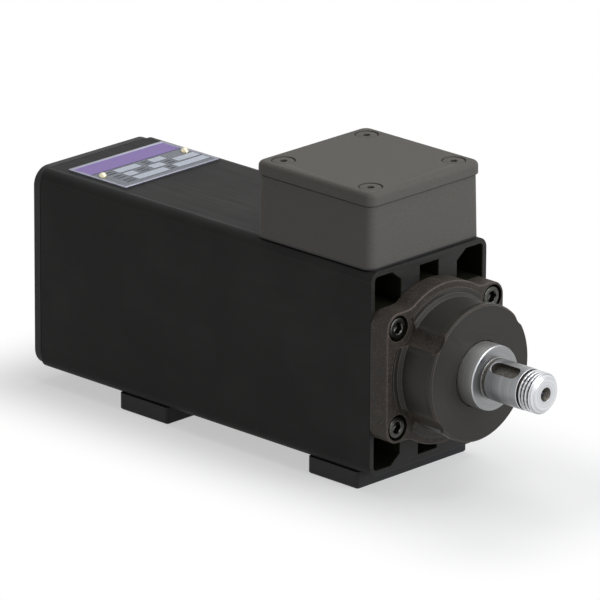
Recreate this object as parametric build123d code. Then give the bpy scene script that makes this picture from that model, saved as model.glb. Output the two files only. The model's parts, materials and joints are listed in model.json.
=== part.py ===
from build123d import *
import math
import os

# Motor spindle with a foot-mounted extruded housing, a cast bearing nose and a keyed, threaded shaft.
# Millimetres. +X runs along the spindle axis towards the shaft end and +Z is up. The origin is the
# middle of the four foot holes, on the plane that the feet stand on, straight below the spindle axis.

# ---- Feet
foot_pitch = 150.0            # between the two feet, centre to centre
foot_setback = 30.5           # housing front face to the middle of the front foot
foot_length = 39.0
foot_inset = 2.5              # foot end inside the housing's side
foot_height = 10.0
foot_corner = 2.0
foot_edge = 0.8
foot_hole_spacing = 60.0      # M8 tapped holes, across each foot
foot_hole_radius = 3.4
foot_screw_spacing = 28.0     # screws that hold each foot to the housing

# ---- Housing extrusion
body_width = 94.0
body_height = 120.0
body_corner = 6.5
housing_length = 262.0
cut_edge = 0.4                # deburred edges at both ends of the extrusion
side_wall = 3.7
channel_wall = 3.4            # above and below the corner channels
channel_width = 20.6
channel_height = 19.6
channel_bevel_width = 7.2
channel_bevel_height = 5.5
channel_corner = 2.2
slot_width = 14.8             # middle air slot, top and bottom
slot_height = 9.6
slot_wall = 4.5
bore_radius = 41.0
pocket_depth = 50.0           # fan chamber milled in the rear end
pocket_clearance = 1.0        # pocket radius over the bore radius
bolt_circle = 47.8            # corner bolts, from the spindle axis
front_thread_depth = 20.0
rear_thread_depth = 14.0

# ---- Front flange with its bearing nose
flange_thickness = 13.0
ear_radius = 9.0
ear_blend = 12.0              # cast blend between each ear and the round of the nose
flange_edge = 0.8             # cast rounding of the flange's front edge
spigot_length = 6.0
spigot_clearance = 0.05
step_inset = 3.7              # ring step inside the flange's round outline
step_height = 1.2
barrel_radius = 38.4
barrel_root = 1.8
nose_length = 39.3            # housing front face to the face of the nose disc
disc_radius = 39.6
disc_rim = 4.5
disc_edge = 0.8
scallop_radius = 11.0         # tool clearance beside each flange screw
scallop_run_out = 3.6         # end of the clearance, up to the face of the nose disc
scallop_rise = 1.5            # of its floor over the run-out
counterbore_radius = 7.5
counterbore_depth = 8.5
bolt_clearance_radius = 4.5
nose_lip = 2.3
nose_bore_clearance = 0.5     # round the shaft collar
seal_width = 7.0
seal_radius = 26.0
seal_running_clearance = 0.08
seal_lip = 1.5

# ---- Shaft
collar_radius = 18.6
collar_length = 11.4          # in front of the nose disc
collar_edge = 0.6
relief_width = 2.5
relief_depth = 0.6
journal_radius = 12.0
journal_length = 23.7
undercut_width = 2.1
undercut_radius = 10.6
shaft_thread_radius = 11.8
shaft_thread_length = 7.1
end_cone = 2.5
centre_mouth_radius = 4.0
centre_drill_radius = 2.2
centre_depth = 14.0
centre_tip = 1.0
keyway_width = 8.0
keyway_length = 20.0
keyway_depth = 4.0
keyway_setback = 1.0          # from the relief groove
keyway_turn = 33.0            # degrees from straight up, towards -Y
lock_thread_radius = 14.8
lock_nut_radius = 22.5
lock_nut_width = 8.0
lock_nut_slots = 4
rotor_seat_radius = 14.0
tail_radius = 12.5
fan_seat_radius = 7.0

# ---- Motor
stack_setback = 45.0          # housing front face to the laminations
stack_length = 105.0
rotor_radius = 21.6
air_gap = 0.4
end_ring_width = 10.0
end_ring_inset = 0.6
end_ring_wall = 6.0
winding_reach = 23.0
winding_wall_gap = 3.0        # from the housing bore
winding_bore_gap = 2.5        # outside the stator bore

# ---- Ball bearings: bore radius, outer radius, width, ball radius, number of balls
front_bearing_bore = 15.0
front_bearing_outer = 31.0
front_bearing_width = 16.0
front_ball_radius = 4.7
front_ball_count = 10
rear_bearing_bore = 10.0
rear_bearing_outer = 23.5
rear_bearing_width = 14.0
rear_ball_radius = 3.9
rear_ball_count = 8
ball_clearance = 0.2
land_share = 0.6              # ring shoulder height over the ball radius
cage_wall = 1.6
cage_share = 1.4              # cage half width over the ball radius
cage_clearance = 0.3

# ---- Inner bearing cap
cap_gap = 1.0                 # in the housing bore
cap_plate = 5.0
cap_bore_clearance = 1.5      # round the lock nut
cap_screw_wall = 3.2          # spigot outside the middle of each cap screw
lock_nut_notch_width = 5.0
lock_nut_notch_depth = 2.0
lock_thread_run = 2.0         # thread past the lock nut

# ---- Rear bearing shield
shield_plate = 6.0
shield_gap = 0.3              # in the fan chamber
shield_spigot = 12.0
shield_rim = 5.0
shield_hub_wall = 5.5
shield_hub_reach = 1.0        # past the rear bearing
spring_width = 2.0
spring_wall = 3.0
shield_floor = 5.0            # behind the wave spring
shield_shaft_clearance = 0.6
shield_ribs = 6
shield_rib_wall = 3.0
lug_width = 9.6
lug_screw_y = 15.0
lug_screw_z = 46.5
lug_reach = 51.0
seat_lead = 1.0               # bearing seat of the shaft, behind the rear bearing

# ---- Fan
fan_setback = 4.0             # from the shield
fan_clearance = 3.0           # fan radius under the bore radius
fan_plate = 2.0
fan_blade_height = 20.0
fan_blade_wall = 2.0
fan_blade_count = 9
fan_blade_bend = 34.0         # radius of each blade's curve
fan_blade_sweep = 42.0        # degrees from root to tip
fan_hub_radius = 11.0
fan_hub_length = 25.0
clip_width = 1.0
clip_radius = 9.5
clip_gap = 4.0
shaft_tail_end = 2.0          # shaft past the clip

# ---- Rear cover
cover_thickness = 5.5
cover_corner = 10.5
cover_edge = 1.0
grille_inset = 2.0            # inside the fan's circle
grille_slot = 4.6
grille_pitch = 8.0
grille_rib = 4.0

# ---- Terminal box
box_setback = 2.2             # housing front face to the lid's front edge
box_length = 90.0
box_width = 90.0
box_corner = 9.0
box_inset = 0.3               # box body inside the lid's outline at its base
box_draft = 1.5               # degrees
box_height = 35.5
box_wall = 4.0
box_floor = 4.0
gasket_thickness = 1.0
seam_thickness = 0.5
lid_height = 7.4
lid_plate = 4.0
lid_wall = 5.5
lid_edge = 3.0
lid_screw_inset = 11.5        # from the lid's edges
lid_boss_radius = 7.5
lid_boss_wall = 1.5
lid_recess_radius = 5.6
lid_screw_rest = 2.0          # lid under each screw head
box_screw_gap = 0.45          # screw head to the end wall
box_screw_y = 15.0
entry_radius = 9.2            # M20 cable entry
entry_boss_radius = 14.0
entry_boss_wall = 7.0
entry_height = 19.5           # over the base of the box
lead_setback = 34.0           # housing front face to the lead hole
lead_y = 15.0
lead_hole_radius = 5.5
sleeve_wall = 1.2
sleeve_head = 1.5

# ---- Terminal block and leads
block_end_gap = 0.75          # block to the heads of the box screws
block_width = 24.0
block_height = 11.0
block_y = -12.0
stud_end_gap = 8.5            # outer studs to the block screws, along the block
stud_spacing_y = 12.0
stud_radius = 2.0
stud_height = 9.0
nut_across_flats = 7.0
nut_height = 3.2
link_width = 7.0
link_thickness = 1.0
block_end_wall = 0.7          # outside the recess of each block screw
block_screw_rest = 6.0        # block under each screw head
block_edge = 1.0
stud_root = 3.0               # box floor to the foot of each stud
lead_radius = 1.3
lead_spread = 2.8             # lead to the middle of the sleeve
lead_bend = 4.0
lead_height = 8.0             # of the horizontal run over the box floor
lead_straight = 7.0           # before the terminal block
sleeve_length = 20.0
earth_end_gap = 20.7          # earth screw to the end wall
earth_side_gap = 12.7         # earth screw to the side wall
earth_boss_radius = 4.5
earth_boss_height = 3.0

# ---- Nameplate
plate_length = 47.0           # along the spindle
plate_width = 76.0
plate_thickness = 1.0
plate_centre_back = 226.0     # housing front face to the middle of the plate
plate_centre_y = 1.5
plate_corner = 1.0
rivet_inset = 5.0             # from the ends of the plate
rivet_radius = 1.9
rivet_height = 2.2
rivet_stem = 1.2

# ---- Screws: head radius, head height, core radius, hexagon across flats
M8 = (6.5, 8.0, 3.4, 6.0)
M5 = (4.25, 5.0, 2.1, 4.0)
M4 = (3.5, 4.0, 1.65, 3.0)
M6_sunk_head = 6.3
M6_core = 2.5
M5_sunk_head = 5.0
M5_core = 2.1
M4_clearance = 2.25
M5_clearance = 2.75
head_clearance = 0.3          # round a screw head in its recess
sink_clearance = 0.3          # a countersunk head below its face
tap_run_out = 2.0             # tapped hole past the screw's tip
floor_tap_run_out = 1.0       # the same in the floor of the box
flange_screw_length = 20.0
shield_screw_length = 20.0
cap_screw_length = 12.0
foot_screw_length = 19.0
cover_screw_length = 14.0
lid_screw_length = 16.0
box_screw_length = 12.0
block_screw_length = 8.0
earth_screw_length = 5.0

# ---- Places worked out from the sizes above
front = foot_pitch / 2 + foot_setback
rear = front - housing_length
underside = foot_height
top = foot_height + body_height
axis_z = foot_height + body_height / 2
pocket_floor = rear + pocket_depth
nose_face = front + nose_length
collar_face = nose_face + collar_length
journal_start = collar_face + relief_width
journal_end = journal_start + journal_length
thread_start = journal_end + undercut_width
thread_end = thread_start + shaft_thread_length
shaft_end = thread_end + end_cone
seal_front = nose_face - nose_lip
bearing_shoulder = seal_front - seal_width
bearing_back = bearing_shoulder - 2 * front_bearing_width
spigot_back = front - spigot_length
stack_front = front - stack_setback
stack_back = stack_front - stack_length
spring_back = pocket_floor - shield_plate + shield_floor
rear_bearing_back = spring_back + spring_width
rear_bearing_front = rear_bearing_back + rear_bearing_width
fan_front = pocket_floor - shield_plate - fan_setback
fan_back = fan_front - fan_hub_length
tail_end = fan_back - clip_width - shaft_tail_end
box_x = front - box_setback - box_length / 2
box_base = top + gasket_thickness
box_rim = box_base + box_height
lid_base = box_rim + seam_thickness
lid_top = lid_base + lid_height
floor_z = box_base + box_floor
lid_screw_seat = lid_base + lid_screw_rest
entry_x = box_x - box_length / 2 + box_inset
entry_z = box_base + entry_height
block_top = floor_z + block_height
lead_x = front - lead_setback
plate_x = front - plate_centre_back
winding_inner = rotor_radius + air_gap + winding_bore_gap
winding_outer = bore_radius - winding_wall_gap
foot_width = body_width - 2 * foot_inset
bolt_half_width = body_width / 2 - ear_radius
bolt_half_height = math.sqrt(bolt_circle ** 2 - bolt_half_width ** 2)
step_radius = body_width / 2 - step_inset
cap_radius = bore_radius - cap_gap
cap_screw_circle = bore_radius - spigot_clearance - cap_screw_wall - M4[2]
fan_radius = bore_radius - fan_clearance
grille_radius = fan_radius - grille_inset
room_half_length = box_length / 2 - box_inset - box_wall
room_half_width = box_width / 2 - box_inset - box_wall
box_screw_x = room_half_length - box_screw_gap - M5[0]
block_length = 2 * (box_screw_x - M5[0] - block_end_gap)
block_screw_x = block_length / 2 - block_end_wall - M4[0] - head_clearance
stud_spacing_x = block_screw_x - stud_end_gap
earth_x = box_x - room_half_length + earth_end_gap
earth_y = room_half_width - earth_side_gap
rivet_spacing = plate_width - 2 * rivet_inset
channel_outer = body_width / 2 - side_wall
channel_inner = channel_outer - channel_width
channel_high = body_height / 2 - channel_wall
channel_low = channel_high - channel_height


def signs():
    """The four corners as pairs of signs."""
    return [(a, b) for a in (-1, 1) for b in (-1, 1)]


def ring_profile(*corners):
    """Solid turned about the spindle axis from (x, radius) corners."""
    face = make_face(Polyline(*corners, close=True))
    return Pos(0, 0, axis_z) * revolve(face, Axis.X)


def tube(x_low, x_high, inner, outer):
    """Plain ring about the spindle axis."""
    return ring_profile((x_low, inner), (x_high, inner), (x_high, outer), (x_low, outer))


def rod(x_low, x_high, radius, y=0.0, z=0.0):
    """Cylinder along X, placed from the spindle axis."""
    disc = Plane.YZ.offset(x_low) * Pos(y, axis_z + z) * Circle(radius)
    return extrude(disc, x_high - x_low)


def prism(sketch, x_low, x_high):
    """Extrusion along X of a sketch drawn round the spindle axis (Y across, Z up)."""
    return extrude(Plane.YZ.offset(x_low) * Pos(0, axis_z) * sketch, x_high - x_low)


def peg(x, y, z_low, z_high, radius):
    """Upright cylinder."""
    return extrude(Pos(x, y, z_low) * Circle(radius), z_high - z_low)


def turned(part, degrees):
    """Turn a piece about the spindle axis."""
    return Pos(0, 0, axis_z) * Rot(degrees, 0, 0) * Pos(0, 0, -axis_z) * part


def facing(part, point, direction):
    """Turn a piece made along +Z so that it points in a direction, at a point."""
    return Plane(origin=point, z_dir=direction).location * part


def cap_screw(size, length):
    """Socket cap screw with its seat at the origin and its head towards +Z."""
    head_radius, head_height, core, across_flats = size
    head = extrude(Circle(head_radius), head_height)
    head = chamfer(head.edges().group_by(Axis.Z)[-1], head_height * 0.08)
    socket = RegularPolygon(across_flats / 2, 6, major_radius=False)
    head -= extrude(Pos(0, 0, head_height / 2) * socket, head_height / 2)
    return head + extrude(Circle(core), -length)


def sunk_shape(head_radius, core, length):
    """Countersunk outline with the middle of its flat head at the origin and its head towards +Z."""
    depth = head_radius - core
    corners = [(0, -length), (core, -length), (core, -depth), (head_radius, 0), (0, 0)]
    return revolve(make_face(Plane.XZ * Polyline(*corners, close=True)), Axis.Z)


def sunk_screw(head_radius, core, length):
    """Countersunk screw with a hexagon socket."""
    socket = RegularPolygon(core * 0.8, 6, major_radius=False)
    return sunk_shape(head_radius, core, length) - extrude(socket, -core)


def group(pieces):
    """Several separate solids in one node."""
    return Compound(children=[solid for piece in pieces for solid in piece.solids()])


# ---- Housing and feet

def channel_outline(side, level):
    """Corner air channel with its bevel towards the middle of the section."""
    corners = [
        (channel_inner, channel_low),
        (channel_outer, channel_low),
        (channel_outer, channel_high),
        (channel_inner + channel_bevel_width, channel_high),
        (channel_inner, channel_high - channel_bevel_height),
    ]
    outline = Polygon(*[(side * y, level * z) for y, z in corners], align=None)
    outer = max(outline.vertices(), key=lambda v: abs(v.X) + abs(v.Y))
    return fillet(outer, channel_corner)


def slot_outline(level):
    """Air slot in the middle of the top or bottom wall."""
    middle = body_height / 2 - slot_wall - slot_height / 2
    return Pos(0, level * middle) * Rectangle(slot_width, slot_height)


def pocket_outline():
    """Fan chamber: a round room joined to every air channel."""
    room = Circle(bore_radius + pocket_clearance)
    for level in (-1, 1):
        band = Rectangle(2 * channel_outer, channel_height)
        room += Pos(0, level * (channel_low + channel_height / 2)) * band
    return room


def make_housing():
    section = RectangleRounded(body_width, body_height, body_corner) - Circle(bore_radius)
    for side, level in signs():
        section -= channel_outline(side, level)
    for level in (-1, 1):
        section -= slot_outline(level)
    body = prism(section, rear, front)
    cut_ends = body.edges().group_by(Axis.X)
    body = chamfer(cut_ends[0] + cut_ends[-1], cut_edge)
    body -= prism(pocket_outline(), rear, pocket_floor)
    for side, level in signs():
        y, z = side * bolt_half_width, level * bolt_half_height
        body -= rod(front - front_thread_depth, front, M8[2], y, z)
        body -= rod(rear, rear + rear_thread_depth, M5_core, y, z)
        y, z = side * lug_screw_y, level * lug_screw_z
        lug_depth = shield_screw_length - shield_plate + tap_run_out
        body -= rod(pocket_floor, pocket_floor + lug_depth, M5[2], y, z)
    for x, y in foot_screw_places():
        body -= peg(x, y, underside, foot_screw_length + tap_run_out, M6_core)
    for x, y in box_corners(box_screw_x, box_screw_y):
        body -= peg(x, y, floor_z - box_screw_length - tap_run_out, top, M5[2])
    body -= peg(lead_x, lead_y, axis_z, top, lead_hole_radius)
    for end in (-1, 1):
        rivet_y = plate_centre_y + end * rivet_spacing / 2
        body -= peg(plate_x, rivet_y, top - channel_wall, top, rivet_stem)
    return body


def foot_screw_places():
    """Two screws through each foot into the solid webs of the housing."""
    return [(end * foot_pitch / 2, side * foot_screw_spacing / 2) for end, side in signs()]


def make_foot(foot_x):
    foot = Pos(foot_x, 0, 0) * extrude(Rectangle(foot_length, foot_width), foot_height)
    foot = fillet(foot.edges().filter_by(Axis.Z), foot_corner)
    foot = chamfer(foot.edges().group_by(Axis.Z)[0], foot_edge)
    sunk = sunk_shape(M6_sunk_head + sink_clearance, M6_core + sink_clearance, foot_height)
    for side in (-1, 1):
        foot -= peg(foot_x, side * foot_hole_spacing / 2, 0, foot_height, foot_hole_radius)
    for x, y in foot_screw_places():
        foot -= facing(sunk, (x, y, 0), (0, 0, -1))
    return foot


def make_foot_screws():
    screw = sunk_screw(M6_sunk_head, M6_core, foot_screw_length)
    return group([facing(screw, (x, y, sink_clearance), (0, 0, -1)) for x, y in foot_screw_places()])


# ---- Front flange

def flange_outline():
    """Rounded ears joined by the round of the bearing nose."""
    ear_height = 2 * (bolt_half_height + ear_radius)
    outline = RectangleRounded(body_width, ear_height, ear_radius) + Circle(body_width / 2)
    inner = [v for v in outline.vertices() if abs(v.Y) > bolt_half_height and abs(v.X) < bolt_half_width - 1]
    return fillet(inner, ear_blend)


def scallop(y, z):
    """Tool clearance round a flange screw; its floor rises to run out in the rim of the nose."""
    plate = front + flange_thickness
    run_out = nose_face - scallop_run_out
    cutter = ring_profile(
        (plate, 0), (plate, scallop_radius), (run_out, scallop_radius),
        (run_out + scallop_run_out / 2, scallop_radius - scallop_rise / 3),
        (nose_face, scallop_radius - scallop_rise), (nose_face, 0),
    )
    return Pos(0, y, z) * cutter


def make_front_flange():
    plate = front + flange_thickness
    rim = nose_face - disc_rim
    flange = prism(flange_outline(), front, plate)
    flange = fillet(flange.edges().group_by(Axis.X)[-1], flange_edge)
    flange += tube(spigot_back, front, front_bearing_outer, bore_radius - spigot_clearance)
    flange += ring_profile(
        (plate, 0), (plate, step_radius), (plate + step_height, step_radius),
        (plate + step_height, barrel_radius + barrel_root),
        (plate + step_height + barrel_root, barrel_radius),
        (rim, barrel_radius), (rim, disc_radius), (nose_face - disc_edge, disc_radius),
        (nose_face, disc_radius - disc_edge), (nose_face, 0),
    )
    for side, level in signs():
        y, z = side * bolt_half_width, level * bolt_half_height
        flange -= scallop(y, z)
        flange -= rod(plate - counterbore_depth, plate, counterbore_radius, y, z)
        flange -= rod(front, plate, bolt_clearance_radius, y, z)
    flange -= rod(spigot_back, bearing_shoulder, front_bearing_outer)
    flange -= rod(bearing_shoulder, seal_front, seal_radius)
    flange -= rod(seal_front, nose_face, collar_radius + nose_bore_clearance)
    cap_hole = cap_screw_length - cap_plate + tap_run_out
    for y, z in cap_screw_places():
        flange -= rod(spigot_back, spigot_back + cap_hole, M4[2], y, z)
    return flange


def make_flange_screws():
    seat = front + flange_thickness - counterbore_depth
    screw = cap_screw(M8, flange_screw_length)
    return group([
        facing(screw, (seat, side * bolt_half_width, axis_z + level * bolt_half_height), (1, 0, 0))
        for side, level in signs()
    ])


def make_shaft_seal():
    """Lip seal: a stiff case with its lip running on the shaft collar."""
    lip = collar_radius + seal_running_clearance
    lip_x = bearing_shoulder + seal_width * 0.5
    return ring_profile(
        (bearing_shoulder, seal_radius), (seal_front, seal_radius), (seal_front, lip + seal_lip),
        (lip_x + seal_lip, lip + seal_lip), (lip_x + seal_lip / 2, lip), (lip_x - seal_lip / 2, lip),
        (bearing_shoulder + seal_lip, lip + seal_lip), (bearing_shoulder + seal_lip, seal_radius - seal_lip),
        (bearing_shoulder, seal_radius - seal_lip),
    )


def cap_screw_places():
    """Screws of the inner bearing cap, between the corner bolts."""
    angles = [math.radians(45 + 90 * turn) for turn in range(4)]
    return [(cap_screw_circle * math.cos(a), cap_screw_circle * math.sin(a)) for a in angles]


def make_bearing_cap():
    cap_back = spigot_back - cap_plate
    inner = lock_nut_radius + cap_bore_clearance
    cap = tube(cap_back, spigot_back, inner, cap_radius)
    cap += tube(spigot_back, bearing_back, inner, front_bearing_outer - spigot_clearance)
    for y, z in cap_screw_places():
        cap -= rod(cap_back, spigot_back, M4_clearance, y, z)
    return cap


def make_bearing_cap_screws():
    screw = cap_screw(M4, cap_screw_length)
    return group([
        facing(screw, (spigot_back - cap_plate, y, axis_z + z), (-1, 0, 0))
        for y, z in cap_screw_places()
    ])


# ---- Ball bearings

class Bearing:
    """Deep-groove ball bearing about the spindle axis, its middle at x."""

    def __init__(self, x, bore, outer, width, ball, count):
        self.x, self.bore, self.outer, self.width = x, bore, outer, width
        self.ball, self.count = ball, count
        self.pitch = (bore + outer) / 2
        self.land = land_share * ball

    def groove(self):
        """Room of the raceway: the path of the balls with their clearance."""
        path = Torus(self.pitch, self.ball + ball_clearance)
        return facing(path, (self.x, 0, axis_z), (1, 0, 0))

    def outer_ring(self):
        low, high = self.x - self.width / 2, self.x + self.width / 2
        return tube(low, high, self.pitch + self.land, self.outer) - self.groove()

    def inner_ring(self):
        low, high = self.x - self.width / 2, self.x + self.width / 2
        return tube(low, high, self.bore, self.pitch - self.land) - self.groove()

    def places(self):
        """Middle of each ball."""
        for turn in range(self.count):
            angle = 2 * math.pi * turn / self.count
            yield self.x, self.pitch * math.cos(angle), axis_z + self.pitch * math.sin(angle)

    def balls(self):
        return group([Pos(*place) * Sphere(self.ball) for place in self.places()])

    def cage(self):
        """Ring between the balls, with a round window for each."""
        half = self.ball * cage_share
        cage = tube(self.x - half, self.x + half, self.pitch - cage_wall / 2, self.pitch + cage_wall / 2)
        for x, y, z in self.places():
            window = Cylinder(self.ball + cage_clearance, 3 * cage_wall)
            cage -= facing(window, (x, y, z), (0, y, z - axis_z))
        return cage


# ---- Shaft and rotor

def keyway_cutter():
    """Round-ended keyway, cut down from the journal's surface."""
    middle = journal_start + keyway_setback + keyway_length / 2
    outline = SlotOverall(keyway_length, keyway_width)
    bottom = axis_z + journal_radius - keyway_depth
    return turned(extrude(Pos(middle, 0, bottom) * outline, 2 * keyway_depth), keyway_turn)


def make_shaft():
    relief = journal_radius - relief_depth
    drill_taper = centre_mouth_radius - centre_drill_radius
    blank = ring_profile(
        (tail_end, 0), (tail_end, fan_seat_radius), (rear_bearing_back - seat_lead, fan_seat_radius),
        (rear_bearing_back - seat_lead, rear_bearing_bore), (rear_bearing_front, rear_bearing_bore),
        (rear_bearing_front, tail_radius), (stack_back - end_ring_width, tail_radius),
        (stack_back - end_ring_width, rotor_seat_radius),
        (bearing_back - lock_nut_width - lock_thread_run, rotor_seat_radius),
        (bearing_back - lock_nut_width - lock_thread_run, lock_thread_radius),
        (bearing_back, lock_thread_radius), (bearing_back, front_bearing_bore),
        (bearing_shoulder, front_bearing_bore), (bearing_shoulder, collar_radius),
        (collar_face - collar_edge, collar_radius), (collar_face, collar_radius - collar_edge),
        (collar_face, relief), (journal_start, relief), (journal_start, journal_radius),
        (journal_end, journal_radius), (journal_end, undercut_radius), (thread_start, undercut_radius),
        (thread_start, shaft_thread_radius), (thread_end, shaft_thread_radius),
        (shaft_end, shaft_thread_radius - end_cone), (shaft_end, centre_mouth_radius),
        (shaft_end - drill_taper * math.sqrt(3), centre_drill_radius),
        (shaft_end - centre_depth, centre_drill_radius), (shaft_end - centre_depth - centre_tip, 0),
    )
    seam_in_keyway = turned(blank, 90 + keyway_turn)
    return seam_in_keyway - keyway_cutter()


def make_bearing_lock_nut():
    """Slotted round nut that clamps the front bearings on the shaft."""
    back = bearing_back - lock_nut_width
    nut = tube(back, bearing_back, lock_thread_radius, lock_nut_radius)
    cutter = Box(lock_nut_width, lock_nut_notch_width, 2 * lock_nut_notch_depth)
    notch = Pos(back + lock_nut_width / 2, 0, axis_z + lock_nut_radius) * cutter
    for turn in range(lock_nut_slots):
        nut -= turned(notch, turn * 360 / lock_nut_slots)
    return nut


def make_rotor_core():
    return tube(stack_back, stack_front, rotor_seat_radius, rotor_radius)


def make_rotor_end_rings():
    outer = rotor_radius - end_ring_inset
    inner = outer - end_ring_wall
    return group([
        tube(stack_front, stack_front + end_ring_width, inner, outer),
        tube(stack_back - end_ring_width, stack_back, inner, outer),
    ])


def make_stator_core():
    return tube(stack_back, stack_front, rotor_radius + air_gap, bore_radius)


def winding_ring(core_face, direction):
    """Taped end turns, rounded away from the laminations."""
    edge = (winding_outer - winding_inner) / 4
    tip = core_face + direction * winding_reach
    return ring_profile(
        (core_face, winding_inner), (tip - direction * edge, winding_inner), (tip, winding_inner + edge),
        (tip, winding_outer - edge), (tip - direction * edge, winding_outer), (core_face, winding_outer),
    )


def make_stator_windings():
    return group([winding_ring(stack_front, 1), winding_ring(stack_back, -1)])


# ---- Rear bearing shield and fan

def make_rear_shield():
    """Plate on the pocket floor with a spigot in the bore and a ribbed hub for the rear bearing."""
    back = pocket_floor - shield_plate
    hub = rear_bearing_outer + shield_hub_wall
    hub_front = rear_bearing_front + shield_hub_reach
    spigot = bore_radius - spigot_clearance
    outline = Circle(bore_radius + pocket_clearance - shield_gap)
    for side in (-1, 1):
        outline += Pos(side * lug_screw_y, 0) * SlotOverall(2 * lug_reach, lug_width, rotation=90)
    shield = prism(outline, back, pocket_floor)
    shield += tube(pocket_floor, pocket_floor + shield_spigot, spigot - shield_rim, spigot)
    shield += rod(pocket_floor, hub_front, hub)
    rib = Box(shield_spigot, 2 * (spigot - shield_rim / 2), shield_rib_wall)
    rib = Pos(pocket_floor + shield_spigot / 2, 0, axis_z) * rib
    for turn in range(shield_ribs // 2):
        shield += turned(rib, (turn + 0.5) * 360 / shield_ribs)
    shield -= rod(spring_back, hub_front, rear_bearing_outer)
    shield -= rod(back, spring_back, fan_seat_radius + shield_shaft_clearance)
    for side, level in signs():
        shield -= rod(back, pocket_floor, M5_clearance, side * lug_screw_y, level * lug_screw_z)
    return shield


def make_rear_shield_screws():
    screw = cap_screw(M5, shield_screw_length)
    seat = pocket_floor - shield_plate
    return group([
        facing(screw, (seat, side * lug_screw_y, axis_z + level * lug_screw_z), (-1, 0, 0))
        for side, level in signs()
    ])


def make_wave_spring():
    """Preload ring behind the rear bearing, pressed flat."""
    return tube(spring_back, rear_bearing_back, rear_bearing_outer - spring_wall, rear_bearing_outer)


def make_fan():
    plate_back = fan_front - fan_plate
    fan = tube(plate_back, fan_front, fan_seat_radius, fan_radius)
    fan += tube(fan_back, plate_back, fan_seat_radius, fan_hub_radius)
    sweep_angle = math.radians(fan_blade_sweep)
    reach = fan_radius - fan_blade_wall
    tip = (reach * math.cos(sweep_angle), reach * math.sin(sweep_angle))
    blade = SlotArc(RadiusArc((fan_hub_radius, 0), tip, fan_blade_bend), fan_blade_wall)
    for turn in range(fan_blade_count):
        outline = Rot(0, 0, turn * 360 / fan_blade_count) * blade
        fan += prism(outline, plate_back - fan_blade_height, plate_back)
    return fan


def make_fan_clip():
    """Open retaining ring behind the fan hub."""
    clip = tube(fan_back - clip_width, fan_back, fan_seat_radius, clip_radius)
    gap = Box(2 * clip_width, clip_gap, clip_radius)
    return clip - Pos(fan_back - clip_width / 2, 0, axis_z + clip_radius) * gap


# ---- Rear cover

def grille_outline():
    """Round-ended slots on both sides of a middle rib, their ends on a circle."""
    rows = int((grille_radius - grille_slot) / grille_pitch)
    slots = Sketch()
    for row in range(-rows, rows + 1):
        height = row * grille_pitch
        length = math.sqrt(grille_radius ** 2 - height ** 2) - grille_rib / 2
        for side in (-1, 1):
            middle = side * (grille_rib + length) / 2
            slots += Pos(middle, height) * SlotOverall(length, grille_slot)
    return slots


def make_rear_cover():
    back = rear - cover_thickness
    cover = prism(RectangleRounded(body_width, body_height, cover_corner), back, rear)
    cover = fillet(cover.edges().group_by(Axis.X)[0], cover_edge)
    cover -= prism(grille_outline(), back, rear)
    for y, z in cover_screw_places():
        sunk = sunk_shape(M5_sunk_head + sink_clearance, M5_core + sink_clearance, cover_thickness)
        cover -= facing(sunk, (back, y, z), (-1, 0, 0))
    return cover


def cover_screw_places():
    """The corner bolt positions, seen from the rear."""
    return [(side * bolt_half_width, axis_z + level * bolt_half_height) for side, level in signs()]


def make_rear_cover_screws():
    screw = sunk_screw(M5_sunk_head, M5_core, cover_screw_length)
    head_x = rear - cover_thickness + sink_clearance
    return group([facing(screw, (head_x, y, z), (-1, 0, 0)) for y, z in cover_screw_places()])


# ---- Terminal box

def box_corners(half_x, half_y):
    """Four places round the middle of the box."""
    return [(box_x + end * half_x, side * half_y) for end, side in signs()]


def lid_screw_places():
    return box_corners(box_length / 2 - lid_screw_inset, box_width / 2 - lid_screw_inset)


def box_outline(inset, radius):
    """Rounded square inside the lid's outline."""
    return Pos(box_x, 0) * RectangleRounded(box_length - 2 * inset, box_width - 2 * inset, radius)


def make_box_gasket():
    gasket = Pos(0, 0, top) * extrude(box_outline(box_inset, box_corner), gasket_thickness)
    for x, y in box_corners(box_screw_x, box_screw_y):
        gasket -= peg(x, y, top, box_base, M5_clearance)
    return gasket - peg(lead_x, lead_y, top, box_base, lead_hole_radius)


def make_terminal_box():
    box = Pos(0, 0, box_base) * extrude(box_outline(box_inset, box_corner), box_height, taper=box_draft)
    inner = box_outline(box_inset + box_wall, box_corner - box_wall)
    room = Pos(0, 0, floor_z) * extrude(inner, box_rim - floor_z, taper=box_draft)
    for x, y in lid_screw_places():
        room -= peg(x, y, floor_z, box_rim, lid_boss_radius)
    room -= peg(earth_x, earth_y, floor_z, floor_z + earth_boss_height, earth_boss_radius)
    entry = Plane(origin=(entry_x, 0, entry_z), z_dir=(1, 0, 0))
    boss = extrude(entry * Circle(entry_boss_radius), entry_boss_wall)
    box = box - (room - boss) + boss
    box -= extrude(entry * Circle(entry_radius), entry_boss_wall)
    for x, y in lid_screw_places():
        box -= peg(x, y, lid_screw_seat - lid_screw_length - tap_run_out, box_rim, M5[2])
    for x, y in box_corners(box_screw_x, box_screw_y):
        box -= peg(x, y, box_base, floor_z, M5_clearance)
    block_tip = floor_z + block_screw_rest - block_screw_length
    for end in (-1, 1):
        x = box_x + end * block_screw_x
        box -= peg(x, block_y, block_tip - floor_tap_run_out, floor_z, M4[2])
    earth_seat = floor_z + earth_boss_height
    box -= peg(earth_x, earth_y, earth_seat - earth_screw_length - floor_tap_run_out, earth_seat, M4[2])
    return box - peg(lead_x, lead_y, box_base, floor_z, lead_hole_radius)


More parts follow.
